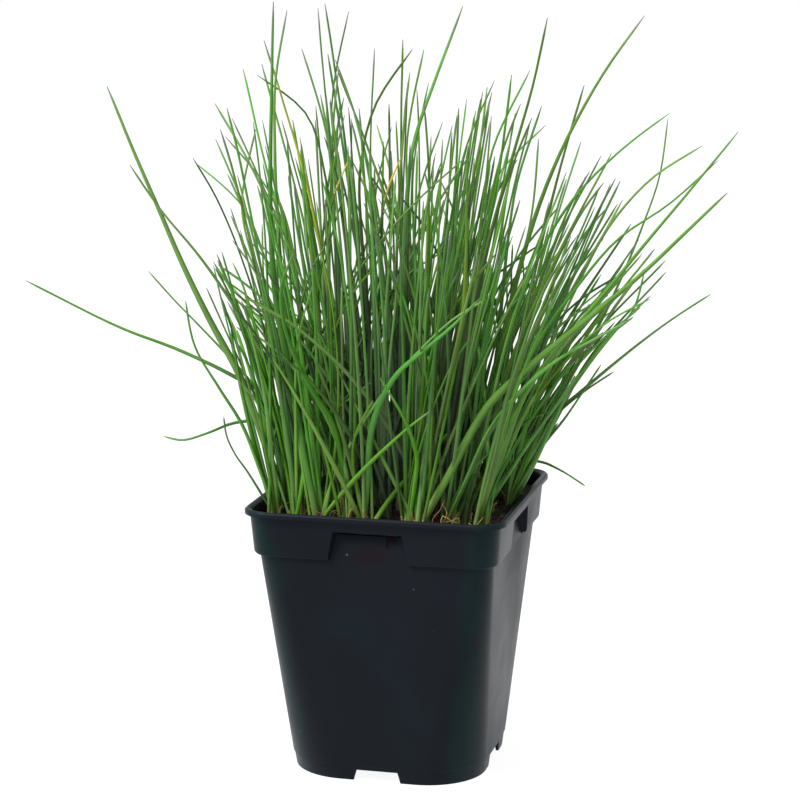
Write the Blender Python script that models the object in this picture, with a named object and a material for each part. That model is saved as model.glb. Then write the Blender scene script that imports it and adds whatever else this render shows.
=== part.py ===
"""Potted chives: a clump of chive shoots growing in peat, in a square moulded nursery pot.

Units are metres and +Z is up. The origin is the middle of the pot's foot, where it stands.
"""

import math
import random
from itertools import combinations

import bmesh
import bpy
import numpy as np
from mathutils import Matrix, Vector
from mathutils.bvhtree import BVHTree
from mathutils.geometry import interpolate_bezier

MM = 0.001
GAP = 0.3 * MM  # between two pieces that touch

# Pot: widths are across the flats of its square sections
POT_HEIGHT = 120.4 * MM
RIM_WIDTH = 114.0 * MM
RIM_CORNER = 12.0 * MM
RIM_DEPTH = 2.4 * MM
RIM_EDGE = 0.5 * MM
COLLAR_TOP_WIDTH = 109.5 * MM
COLLAR_FOOT_WIDTH = 106.7 * MM
COLLAR_CORNER = 9.6 * MM
COLLAR_BASE = 100.4 * MM
COLLAR_EDGE = 0.9 * MM
BODY_TOP_WIDTH = 102.6 * MM
BODY_TOP_CORNER = 9.1 * MM
FOOT_WIDTH = 85.9 * MM
FOOT_CORNER = 26.0 * MM
FOOT_BAND = 6.5 * MM
FOOT_STEP = 0.4 * MM
WALL = 1.2 * MM
SHELF = 1.2 * MM  # how far the inner step sits above the outer one
FLOOR_UNDERSIDE = 5.0 * MM
FLOOR_THICKNESS = 1.4 * MM
CORNER_STEPS = 5
SMOOTH_ANGLE = math.radians(30)  # edges that bend less than this are shaded smooth

# Recess in the middle of each side of the collar, flush with the body below it
RECESS_HALF_WIDTH_LOW = 18.0 * MM
RECESS_HALF_WIDTH_HIGH = 15.0 * MM
RECESS_TOP = 113.2 * MM
RECESS_PROUD = 0.05 * MM

# Drain notches in the foot and drain holes in the floor
NOTCH_HALF_WIDTH_LOW = 10.8 * MM
NOTCH_HALF_WIDTH_HIGH = 9.2 * MM
NOTCH_HEIGHT = 4.8 * MM
HOLE_RADIUS = 4.5 * MM
HOLE_REACH = 24.0 * MM
HOLE_TURN = math.radians(45)
HOLE_SIDES = 10

# Peat
SOIL_TOP = 114.4 * MM
SOIL_EDGE_DROP = 1.6 * MM
SOIL_EDGE_WIDTH = 4.5 * MM

# Where the plant is laid out from. The pot is seen with its right-hand side turned towards the
# viewer. A place is across (to the right) and behind (away from the viewer) of the pot's middle.
# A leaf's points are read off an upright board that faces the viewer through the pot's middle,
# and each one then moves along its line of sight to the leaf's own depth.
VIEW_TURN = math.radians(14.0)
VIEW_TILT = math.radians(11.65)
VIEW_DISTANCE = 1.114
VIEW_AIM_HEIGHT = 0.150

# Shoots
SHOOTS = 58
LEAVES_IN_SHOOT = 5
SHEATH_HEIGHT = 8.0 * MM
SHEATH_RADIUS = 1.4 * MM  # for one leaf; the sheath's area grows with their number
ROOT_LIMIT = 46.0 * MM  # from the pot's middle line to the outermost root
ROOT_STEP = 3.0 * MM  # between the places that are tried for a root
GOLDEN_ANGLE = 2.4  # how far each shoot's first leaf is turned from the last shoot's
SEED = 7

# Leaves
LEAF_GAP = 0.35 * MM
LEAF_OFFSET = 2.5 * MM  # from the middle of a shared sheath to each of its leaves
SIDE_STEP = math.radians(45)  # between the places round a sheath that a leaf may start from
SHARE_STEP = math.radians(15)  # between the turns tried for the leaves' shares of a sheath
SHARE_TRIES = 12
SHARE_INSET = 0.005  # how far two neighbours' shared edges are drawn in when they are compared
FIRST_RING = 0.14  # share of a leaf's length where it has its own full shape
SECTIONS = ((2, 4), (4, 5), (99, 7))  # (points read below this, cross-sections above the sheath)
TAPER = 1.6  # a leaf's width falls with this power of the share of its length
TIP_SHARE = 0.30  # of a leaf's radius, left where its pointed end begins
BEND_OUT = 1.4  # a leaf leans out with this power of the share of its height
DEPTH_EASE = 1.3  # and moves to its tip's depth with this power of it
LONG_STRETCH = 45.0 * MM  # a first stretch that rises further than this gets a point halfway
CURVE_STEPS = 9  # points on each smooth stretch of a centreline
RIM_SAMPLES = 12  # points on each stretch that are tested against the pot's rim
FAN = 2.2  # how much further from the middle a leaf's tip is than its root, seen from the side
DEPTH_LIMIT = 100.0 * MM  # from the pot's middle line to the furthest tip, in front and behind
SHIFT_STEP = 1.5 * MM  # a leaf that finds no room shifts in depth by this much at a time
LEAD_TRIES = 36

# Plainer leaves, between the ones that stand out
PLAIN_WIDTHS = (2.2, 3.0)
PLAIN_REACH = (0.62, 1.0)  # the share of the way to the clump's crown that they grow
PLAIN_STATIONS = (0.0, FIRST_RING, 0.56, 1.0)
PLAIN_TRIES = 70
SCATTER = 13.0 * MM  # how far from its shoot's own direction a tip may be
PLAIN_LEAN = ((-50, -76), (0, 6), (50, 112))  # across on the board: of the root, of the tip (mm)

# The height that the mass of leaves reaches on the board, by place across (mm)
CROWN = ((-100, 205), (-85, 235), (-70, 262), (-55, 280), (-30, 292), (-10, 284), (12, 274), (22, 268),
         (45, 284), (60, 272), (75, 262), (90, 250), (105, 232), (120, 222), (132, 208))

# Shoots with leaves that stand out in the clump, in mm: (across, behind, plain, leaves), where plain
# is how many plainer leaves the shoot also has. A leaf is (width, lean, points on the board), and
# lean is how far its tip is behind the place that the fan alone would give it.
STANDING_OUT = (
    (-54, -31, 2, ((2.4, 20, ((-76, 161), (-88, 180), (-93, 204))),
                       (1.9, 30, ((-67, 128), (-75, 141), (-77, 153))))),
    (-50, -19, 2, ((4.0, 4, ((-60, 150), (-75, 180), (-91, 213), (-105, 246), (-125, 296))),)),
    (-41, -22, 1, ((2.8, 2, ((-52, 165), (-71, 200), (-90, 228), (-105, 246), (-116, 263))),)),
    (-49, -7, 3, ((2.4, -4, ((-66, 168), (-84, 210))), (2.0, 8, ((-79, 218),)))),
    (-48, 5, 3, ((2.6, 12, ((-60, 160), (-77, 182), (-94, 200), (-109, 217))),)),
    (-46, 17, 2, ((2.6, 4, ((-50, 141), (-63, 151), (-73, 150), (-86, 145), (-98, 142), (-104, 144))),)),
    (-30, -3, 2, ((3.0, -25, ((-45, 150), (-70, 169), (-88, 179), (-121, 192), (-162, 213))),)),
    (-38, 29, 3, ((2.2, -10, ((-68, 236), (-62, 278))), (2.2, 8, ((-59, 282),)))),
    (-35, 41, 2, ((2.4, -10, ((-69, 249), (-75, 255), (-88, 264))), (2.2, 2, ((-74, 259),)),
                     (2.2, 12, ((-73, 241),)))),
    (-35, -37, 3, ((4.2, 36, ((-39, 137), (-43, 156), (-48, 171), (-54, 205), (-56, 240), (-54, 332))),
                      (2.6, 50, ((-53, 205), (-55, 250), (-75, 275))))),
    (-22, -40, 1, ((4.4, -4, ((-26, 138), (-31, 153), (-40, 167), (-49, 188), (-52, 204), (-51, 213),
                                  (-46, 225))),)),
    (-14, -43, 0, ((3.8, 10, ((-15, 134), (-12, 149), (-8, 161), (1, 175), (17, 188), (34, 205))),
                       (2.2, 24, ((-21, 133), (-19, 147), (-12, 160))))),
    (-41, -15, 2, ((3.4, 20, ((-49, 190), (-53, 240), (-53, 302), (-48, 328))),)),
    (-31, 11, 3, ((2.8, 8, ((-62, 280), (-67, 304))), (2.2, 20, ((-70, 253), (-79, 274))))),
    (-23, 35, 2, ((2.2, 4, ((-59, 306),)), (2.2, -6, ((-72, 283),)), (2.2, -16, ((-66, 267), (-79, 289))))),
    (-21, -15, 4, ((3.0, 24, ((-30, 200), (-38, 246), (-45, 272), (-58, 316))),)),
    (-14, -3, 3, ((2.8, 12, ((-24, 200), (-31, 250), (-35, 272), (-40, 284), (-50, 294), (-61, 301))),)),
    (-25, 23, 3, ((2.4, 4, ((-34, 295), (-42, 312))), (2.2, -10, ((-43, 275),)))),
    (-19, 47, 3, ((2.2, -24, ((-45, 266),)), (2.2, -34, ((-51, 282),)))),
    (-12, 9, 3, ((2.8, 4, ((-32, 290), (-35, 329))), (3.0, -8, ((-28, 305), (-32, 331))))),
    (-10, 22, 2, ((2.6, -6, ((-30, 292), (-22, 328))), (2.4, 6, ((-31, 310),)), (2.2, 16, ((-34, 293),)))),
    (8, 28, 3, ((2.6, -16, ((0, 225), (-6, 248), (-27, 304))),)),
    (-9, -12, 3, ((2.6, 16, ((-13, 282), (-11, 312))),
                     (2.6, 6, ((-17, 240), (-16, 276), (-7, 295), (5, 312))))),
    (0, 7, 3, ((2.8, 0, ((0, 291), (1, 316))), (2.4, 8, ((3, 298),)))),
    (2, -12, 3, ((4.2, 0, ((1, 200), (3, 257), (6, 274), (16, 303), (26, 330))),)),
    (4, 18, 3, ((2.6, -6, ((3, 289), (10, 312))), (2.4, 8, ((6, 279), (12, 298))))),
    (-3, 38, 2, ((2.2, -20, ((-11, 259), (-4, 279))), (2.2, -6, ((-3, 259), (-10, 280))),
                    (2.2, -34, ((-5, 289),)))),
    (8, -32, 3, ((3.2, 24, ((7, 251), (12, 265), (18, 281))), (2.6, 10, ((14, 265),)))),
    (13, 7, 2, ((2.4, 0, ((22, 277),)), (2.4, -8, ((24, 284),)), (2.4, 8, ((28, 291),)))),
    (15, 31, 2, ((2.4, -20, ((29, 271),)), (2.4, -10, ((31, 283),)), (2.4, -30, ((34, 291),)))),
    (18, -8, 4, ((2.8, 4, ((27, 274), (31, 285), (40, 299))),)),
    (22, 20, 2, ((2.4, -4, ((37, 296),)), (2.4, 6, ((38, 290),)), (2.4, -12, ((38, 281),)))),
    (25, -16, 4, ((2.8, 10, ((46, 283), (47, 301))),)),
    (29, 8, 4, ((2.8, 0, ((39, 269), (46, 288), (55, 303))),)),
    (31, 31, 2, ((2.2, -10, ((49, 285),)), (2.4, -20, ((55, 280),)),
                 (2.2, 2, ((40, 255), (49, 264), (62, 280))))),
    (18, -31, 2, ((3.2, 16, ((38, 230), (50, 274), (57, 299), (62, 314), (62, 325))),)),
    (36, -4, 3, ((2.6, 0, ((50, 257), (60, 288))), (2.4, 8, ((58, 252), (59, 274))))),
    (37, -18, 3, ((4.0, 10, ((47, 200), (56, 235), (65, 259), (75, 283), (93, 312), (103, 326))),)),
    (42, 12, 3, ((2.8, -4, ((67, 256), (72, 278), (78, 297))), (2.4, 6, ((77, 273),)))),
    (44, 28, 3, ((2.4, -14, ((71, 257),)), (2.4, -24, ((79, 258),)))),
    (28, -36, 3, ((3.0, 20, ((62, 220), (86, 267))), (2.8, 34, ((90, 268),)))),
    (48, -5, 3, ((2.4, 0, ((90, 255),)), (2.6, -10, ((94, 256),)), (2.4, 4, ((68, 147), (87, 176))))),
    (50, 33, 2, ((2.4, -24, ((85, 253),)), (2.4, -34, ((89, 245),)), (2.2, -14, ((95, 248),)))),
    (35, -31, 3, ((3.4, 16, ((52, 205), (71, 244), (89, 264), (102, 277), (115, 285))),
                     (2.4, 30, ((55, 140), (71, 162), (84, 180), (93, 191), (101, 201), (105, 217))))),
    (46, 22, 3, ((2.8, -20, ((84, 190), (99, 223), (105, 240), (111, 259), (114, 283))),
                    (2.8, -34, ((75, 210), (96, 246), (110, 259), (129, 271))))),
    (33, -51, 2, ((3.4, 40, ((60, 172), (92, 212), (115, 241), (129, 258), (144, 277))),
                      (3.0, 50, ((62, 190), (97, 235), (105, 240), (122, 251), (136, 265))))),
    (20, -45, 2, ((2.6, 10, ((50, 162), (84, 190), (94, 198), (101, 203), (108, 205))),
                      (2.6, 24, ((60, 172), (84, 187), (93, 192), (100, 196))))),
    (48, 7, 3, ((2.8, 0, ((66, 152), (83, 168), (97, 180), (115, 194), (134, 207))),
                    (2.8, -8, ((70, 156), (93, 173))))),
    (52, 21, 3, ((2.6, -20, ((55, 131), (60, 133), (70, 129), (81, 122))),)),
    (9, -48, 1, ((4.4, 20, ((12, 121), (21, 136), (31, 151), (45, 163), (62, 181), (94, 206), (110, 223),
                                (128, 238), (140, 251))),)),
    (2, -46, 1, ((3.2, 30, ((10, 134), (17, 151), (21, 169), (27, 200), (29, 271))),
                     (3.0, 10, ((7, 130), (5, 143), (0, 155), (-9, 170))))),
    (-44, -34, 2, ((2.2, 26, ((-46, 138), (-39, 149), (-26, 158), (-13, 168))),
                       (2.8, 10, ((-46, 165), (-44, 190), (-38, 211))))),
)


def to_linear(channel):
    """One sRGB channel, 0 to 1, as linear light."""
    return channel / 12.92 if channel <= 0.04045 else ((channel + 0.055) / 1.055) ** 2.4


def make_material(name, srgb_hex, roughness):
    """A plain Principled material of that colour."""
    material = bpy.data.materials.new(name)
    material.use_nodes = True
    shader = material.node_tree.nodes["Principled BSDF"]
    channels = [int(srgb_hex[i:i + 2], 16) / 255 for i in (0, 2, 4)]
    shader.inputs["Base Color"].default_value = [to_linear(c) for c in channels] + [1.0]
    shader.inputs["Roughness"].default_value = roughness
    shader.inputs["Metallic"].default_value = 0.0
    return material


def clear_scene():
    for old in list(bpy.data.objects):
        bpy.data.objects.remove(old, do_unlink=True)


def make_collection(name):
    collection = bpy.data.collections.new(name)
    bpy.context.scene.collection.children.link(collection)
    return collection


def make_object(name, bm, collection, material=None, smooth_angle=None):
    """The bmesh as a named object with its faces pointing outwards."""
    bmesh.ops.recalc_face_normals(bm, faces=bm.faces[:])
    mesh = bpy.data.meshes.new(name)
    bm.to_mesh(mesh)
    bm.free()
    if smooth_angle is not None:
        mesh.shade_smooth()
        mesh.set_sharp_from_angle(angle=smooth_angle)
    obj = bpy.data.objects.new(name, mesh)
    collection.objects.link(obj)
    if material:
        mesh.materials.append(material)
    return obj


def add_boolean(obj, name, operation, other):
    modifier = obj.modifiers.new(name, "BOOLEAN")
    modifier.operation = operation
    modifier.solver = "EXACT"
    modifier.object = other
    other.hide_render = True
    other.display_type = "WIRE"


# Pot

def body_half(height):
    """Half the body's outer width at that height. Its sides carry on straight behind the collar."""
    return (FOOT_WIDTH + (BODY_TOP_WIDTH - FOOT_WIDTH) * height / COLLAR_BASE) / 2


def body_corner(height):
    share = min(height / COLLAR_BASE, 1.0)
    return FOOT_CORNER + (BODY_TOP_CORNER - FOOT_CORNER) * share


def collar_half(height):
    share = (height - COLLAR_BASE) / (POT_HEIGHT - RIM_DEPTH - COLLAR_BASE)
    return (COLLAR_FOOT_WIDTH + (COLLAR_TOP_WIDTH - COLLAR_FOOT_WIDTH) * share) / 2


def rounded_square(half, corner, height):
    """One ring of points around a square with round corners, anticlockwise from above."""
    points = []
    for quarter in range(4):
        start = math.radians(90 * quarter)
        middle_x = (half - corner) * (math.cos(start) - math.sin(start))
        middle_y = (half - corner) * (math.cos(start) + math.sin(start))
        for step in range(CORNER_STEPS + 1):
            angle = start + math.radians(90) * step / CORNER_STEPS
            x = middle_x + corner * math.cos(angle)
            y = middle_y + corner * math.sin(angle)
            points.append(Vector((x, y, height)))
    return points


def loft(rings):
    """A closed bmesh through the rings in turn, with a flat face over the first and the last."""
    bm = bmesh.new()
    rows = [[bm.verts.new(point) for point in ring] for ring in rings]
    for lower, upper in zip(rows, rows[1:]):
        for i, corner in enumerate(lower):
            following = (i + 1) % len(lower)
            bm.faces.new((corner, lower[following], upper[following], upper[i]))
    bm.faces.new(reversed(rows[0]))
    bm.faces.new(rows[-1])
    return bm


def side_wedge(bm, turn, low, high, inner, outer):
    """A block across one side of the pot, from the depth inner(height) out to outer(height).

    low and high are (height, half width) of its bottom and top.
    """
    corners = []
    for height, half_width in (low, high):
        for x in (-half_width, half_width):
            for depth in (inner(height), outer(height)):
                corners.append(bm.verts.new((x, -depth, height)))
    hull = bmesh.ops.convex_hull(bm, input=corners)
    bmesh.ops.delete(bm, geom=hull["geom_interior"], context="VERTS")
    quarter_turns = Matrix.Rotation(math.radians(90 * turn), 3, "Z")
    bmesh.ops.rotate(bm, verts=corners, cent=(0, 0, 0), matrix=quarter_turns)


def four_wedges(name, collection, *wedge):
    bm = bmesh.new()
    for turn in range(4):
        side_wedge(bm, turn, *wedge)
    return make_object(name, bm, collection)


def make_pot(parts, cutters, material):
    """The pot's wall as one loft, up its outside and down its inside, then its recesses and drains."""
    foot_inside = FOOT_WIDTH / 2 - FOOT_STEP - WALL
    band_half = body_half(FOOT_BAND)
    rim_under = POT_HEIGHT - RIM_DEPTH
    shelf_height = COLLAR_BASE + SHELF
    floor_top = FLOOR_UNDERSIDE + FLOOR_THICKNESS
    rim_half = RIM_WIDTH / 2
    mouth_half = collar_half(POT_HEIGHT) - WALL
    rings = (
        (foot_inside - RIM_EDGE, body_corner(FLOOR_UNDERSIDE) - WALL, FLOOR_UNDERSIDE),
        (foot_inside, FOOT_CORNER - WALL, 0.0),
        (FOOT_WIDTH / 2 - FOOT_STEP, FOOT_CORNER, 0.0),
        (band_half - FOOT_STEP, body_corner(FOOT_BAND), FOOT_BAND - FOOT_STEP),
        (band_half, body_corner(FOOT_BAND), FOOT_BAND),
        (body_half(COLLAR_BASE), BODY_TOP_CORNER, COLLAR_BASE),
        (collar_half(COLLAR_BASE) - COLLAR_EDGE / 2, COLLAR_CORNER, COLLAR_BASE),
        (collar_half(COLLAR_BASE + COLLAR_EDGE), COLLAR_CORNER, COLLAR_BASE + COLLAR_EDGE),
        (collar_half(rim_under), COLLAR_CORNER, rim_under),
        (rim_half - RIM_EDGE / 2, RIM_CORNER, rim_under),
        (rim_half, RIM_CORNER, rim_under + RIM_EDGE),
        (rim_half, RIM_CORNER, POT_HEIGHT - RIM_EDGE),
        (rim_half - RIM_EDGE, RIM_CORNER - RIM_EDGE, POT_HEIGHT),
        (mouth_half + RIM_EDGE, COLLAR_CORNER - WALL + RIM_EDGE, POT_HEIGHT),
        (mouth_half, COLLAR_CORNER - WALL, POT_HEIGHT - RIM_EDGE),
        (collar_half(shelf_height + COLLAR_EDGE) - WALL, COLLAR_CORNER - WALL, shelf_height + COLLAR_EDGE),
        (body_half(shelf_height) - WALL, BODY_TOP_CORNER - WALL, shelf_height),
        (body_half(floor_top) - WALL, body_corner(floor_top) - WALL, floor_top),
    )
    wall = loft([rounded_square(*ring) for ring in rings])
    pot = make_object("pot", wall, parts, material, SMOOTH_ANGLE)

    bumps = four_wedges(
        "recess_backs", cutters,
        (COLLAR_BASE + SHELF / 2, RECESS_HALF_WIDTH_LOW + WALL),
        (RECESS_TOP + WALL, RECESS_HALF_WIDTH_HIGH + WALL),
        lambda height: body_half(height) - WALL + 2 * RECESS_PROUD,
        lambda height: collar_half(height) - WALL / 2,
    )
    recesses = four_wedges(
        "recess_cutters", cutters,
        (COLLAR_BASE - WALL, RECESS_HALF_WIDTH_LOW),
        (RECESS_TOP, RECESS_HALF_WIDTH_HIGH),
        lambda height: body_half(height) + RECESS_PROUD,
        lambda height: RIM_WIDTH / 2,
    )
    notches = four_wedges(
        "notch_cutters", cutters,
        (-WALL, NOTCH_HALF_WIDTH_LOW),
        (NOTCH_HEIGHT, NOTCH_HALF_WIDTH_HIGH),
        lambda height: FOOT_WIDTH / 2 - 3 * WALL,
        lambda height: FOOT_WIDTH / 2 + 3 * WALL,
    )
    add_boolean(pot, "recess backs", "UNION", bumps)
    add_boolean(pot, "recesses", "DIFFERENCE", recesses)
    add_boolean(pot, "notches", "DIFFERENCE", notches)
    add_boolean(pot, "drain holes", "DIFFERENCE", make_drain_cutters(cutters, floor_top))
    return pot


def make_drain_cutters(cutters, floor_top):
    bm = bmesh.new()
    for turn in range(4):
        made = bmesh.ops.create_cone(bm, cap_ends=True, segments=HOLE_SIDES, radius1=HOLE_RADIUS,
                                     radius2=HOLE_RADIUS, depth=4 * FLOOR_THICKNESS)
        angle = HOLE_TURN + math.radians(90 * turn)
        middle = (FLOOR_UNDERSIDE + floor_top) / 2
        place = Vector((HOLE_REACH * math.cos(angle), HOLE_REACH * math.sin(angle), middle))
        bmesh.ops.translate(bm, verts=made["verts"], vec=place)
    return make_object("drain_cutters", bm, cutters)


# Peat

def make_soil(parts, cutters, material):
    """The peat as it fills the pot, a little lower along the wall than in the middle."""
    floor = FLOOR_UNDERSIDE + FLOOR_THICKNESS + GAP
    shelf_height = COLLAR_BASE + SHELF
    edge_height = SOIL_TOP - SOIL_EDGE_DROP
    inset = WALL + GAP
    rings = (
        (body_half(floor) - inset, body_corner(floor) - inset, floor),
        (body_half(shelf_height) - inset, BODY_TOP_CORNER - inset, shelf_height + GAP),
        (collar_half(shelf_height) - inset, COLLAR_CORNER - inset, shelf_height + COLLAR_EDGE + 2 * GAP),
        (collar_half(edge_height) - inset, COLLAR_CORNER - inset, edge_height),
        (collar_half(edge_height) - inset - SOIL_EDGE_WIDTH, COLLAR_CORNER - inset, SOIL_TOP),
    )
    filling = loft([rounded_square(*ring) for ring in rings])
    soil = make_object("soil", filling, parts, material, SMOOTH_ANGLE)
    clearances = four_wedges(
        "recess_clearances", cutters,
        (COLLAR_BASE, RECESS_HALF_WIDTH_LOW + WALL + GAP),
        (RECESS_TOP + WALL + GAP, RECESS_HALF_WIDTH_HIGH + WALL + GAP),
        lambda height: body_half(height) - WALL + RECESS_PROUD - GAP,
        lambda height: RIM_WIDTH / 2,
    )
    add_boolean(soil, "recess clearances", "DIFFERENCE", clearances)
    return soil


# Where things are seen

AWAY = Vector((-math.sin(VIEW_TURN), math.cos(VIEW_TURN), 0.0))
RIGHT = Vector((math.cos(VIEW_TURN), math.sin(VIEW_TURN), 0.0))
EYE = (
    Vector((0, 0, VIEW_AIM_HEIGHT + VIEW_DISTANCE * math.sin(VIEW_TILT)))
    - AWAY * VIEW_DISTANCE * math.cos(VIEW_TILT)
)
EYE_BEHIND = EYE.dot(AWAY)


def place(across, behind, height):
    return RIGHT * across + AWAY * behind + Vector((0, 0, height))


def from_board(across, height, behind):
    """The point at that depth on the line of sight through a spot on the board."""
    spot = place(across, 0.0, height)
    return EYE + (spot - EYE) * (behind - EYE_BEHIND) / -EYE_BEHIND


def read_off(pairs, across):
    """The value of a list of (across, value) pairs in mm at that place across."""
    places, values = np.array(pairs).T * MM
    return float(np.interp(across, places, values))


# Leaves

class Clearance:
    """Keeps the leaves laid so far as short round rods, and says whether a new one stays clear."""

    def __init__(self):
        self.starts = np.empty((0, 3))
        self.ends = np.empty((0, 3))
        self.radii, self.owners, self.orders = np.empty(0), np.empty(0), np.empty(0)

    def add(self, line, radii, owner):
        count = len(line) - 1
        self.starts = np.vstack((self.starts, line[:-1]))
        self.ends = np.vstack((self.ends, line[1:]))
        self.radii = np.append(self.radii, np.maximum(radii[:-1], radii[1:]))
        self.owners = np.append(self.owners, [owner] * count)
        self.orders = np.append(self.orders, range(count))

    def is_clear(self, line, radii, owner):
        for order, (start, end) in enumerate(zip(line, line[1:])):
            apart = rod_distances(np.array(start), np.array(end), self.starts, self.ends)
            wanted = self.radii + max(radii[order], radii[order + 1]) + LEAF_GAP
            # Leaves of one shoot start from the same sheath, so their lowest stretches may be close,
            # and Shoot.arrange keeps those from passing through each other.
            counts = (self.owners != owner) | ((self.orders > 0) & (order > 0))
            if (counts & (apart < wanted)).any():
                return False
        return True


def rod_distances(start, end, starts, ends):
    """The least distance from one straight stretch to each of many."""
    along, alongs, between = end - start, ends - starts, start - starts
    a = along @ along
    e = (alongs * alongs).sum(1)
    f = (alongs * between).sum(1)
    c = between @ along
    b = alongs @ along
    spread = np.maximum(a * e - b * b, 1e-18)
    s = np.clip((b * f - c * e) / spread, 0, 1)
    t = np.clip((b * s + f) / e, 0, 1)
    s = np.clip((b * t - c) / a, 0, 1)
    gap = (start + s[:, None] * along) - (starts + t[:, None] * alongs)
    return np.sqrt((gap * gap).sum(1))


def clear_of_pot(line, radii):
    """Whether a leaf passes the pot's rim from inside, above it or outside."""
    mouth = collar_half(POT_HEIGHT) - WALL - GAP
    for (start, end), radius in zip(zip(line, line[1:]), radii):
        for share in np.linspace(0, 1, RIM_SAMPLES):
            point = start.lerp(end, share)
            out = max(abs(point.x), abs(point.y))
            beside_rim = mouth < out + radius and out - radius < RIM_WIDTH / 2 + GAP
            if beside_rim and point.z < POT_HEIGHT + radius + GAP:
                return False
    return True


def smooth_line(points, stations):
    """The smooth curve through the points, at those shares of its length."""
    fine = []
    for i, (start, end) in enumerate(zip(points, points[1:])):
        before = points[i - 1] if i else start - (end - start)
        after = points[i + 2] if i + 2 < len(points) else end + (end - start)
        span = (end - start).length
        leaving = (end - before).normalized() * span / 3
        arriving = (after - start).normalized() * span / 3
        fine += interpolate_bezier(start, start + leaving, end - arriving, end, CURVE_STEPS)[:-1]
    fine.append(points[-1])
    steps = [(b - a).length for a, b in zip(fine, fine[1:])]
    lengths = np.concatenate(([0.0], np.cumsum(steps)))
    wanted = np.array(stations) * lengths[-1]
    columns = [np.interp(wanted, lengths, [p[axis] for p in fine]) for axis in range(3)]
    return [Vector(xyz) for xyz in zip(*columns)]


def stations_for(points_read):
    """Shares of a leaf's length where its cross-sections stand: the more points, the more of them."""
    count = next(sections for limit, sections in SECTIONS if points_read < limit)
    return (0.0, *np.linspace(FIRST_RING, 1.0, count))


def leaf_radii(width, stations):
    """Half the leaf's width at each station, drawn in towards its tip."""
    return [width / 2 * MM * (1 - (1 - TIP_SHARE) * share ** TAPER) for share in stations]


def lead_line(base, root_behind, lean, points):
    """The centreline of a leaf through its points on the board."""
    tip_behind = root_behind * FAN + lean
    if len(points) == 1:
        tip = from_board(points[0][0] * MM, points[0][1] * MM, tip_behind)
        return smooth_line([base, fanned(base, tip), tip], stations_for(1))
    base_behind = base.dot(AWAY)
    climb = max(height for _, height in points) * MM - base.z
    last = len(points) - 1
    line = [base]
    for i, (across, height) in enumerate(points):
        share = min(max((height * MM - base.z) / climb, i / last), 1.0)
        behind = base_behind + (tip_behind - base_behind) * share ** DEPTH_EASE
        line.append(from_board(across * MM, height * MM, behind))
    if line[1].z - base.z > LONG_STRETCH:
        line.insert(1, fanned(base, line[1]))
    return smooth_line(line, stations_for(len(points)))


def fanned(base, tip):
    """The point halfway up a leaf that bends outwards as it rises."""
    out = (tip - base) * 0.5 ** BEND_OUT
    return Vector((base.x + out.x, base.y + out.y, (base.z + tip.z) / 2))


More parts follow.
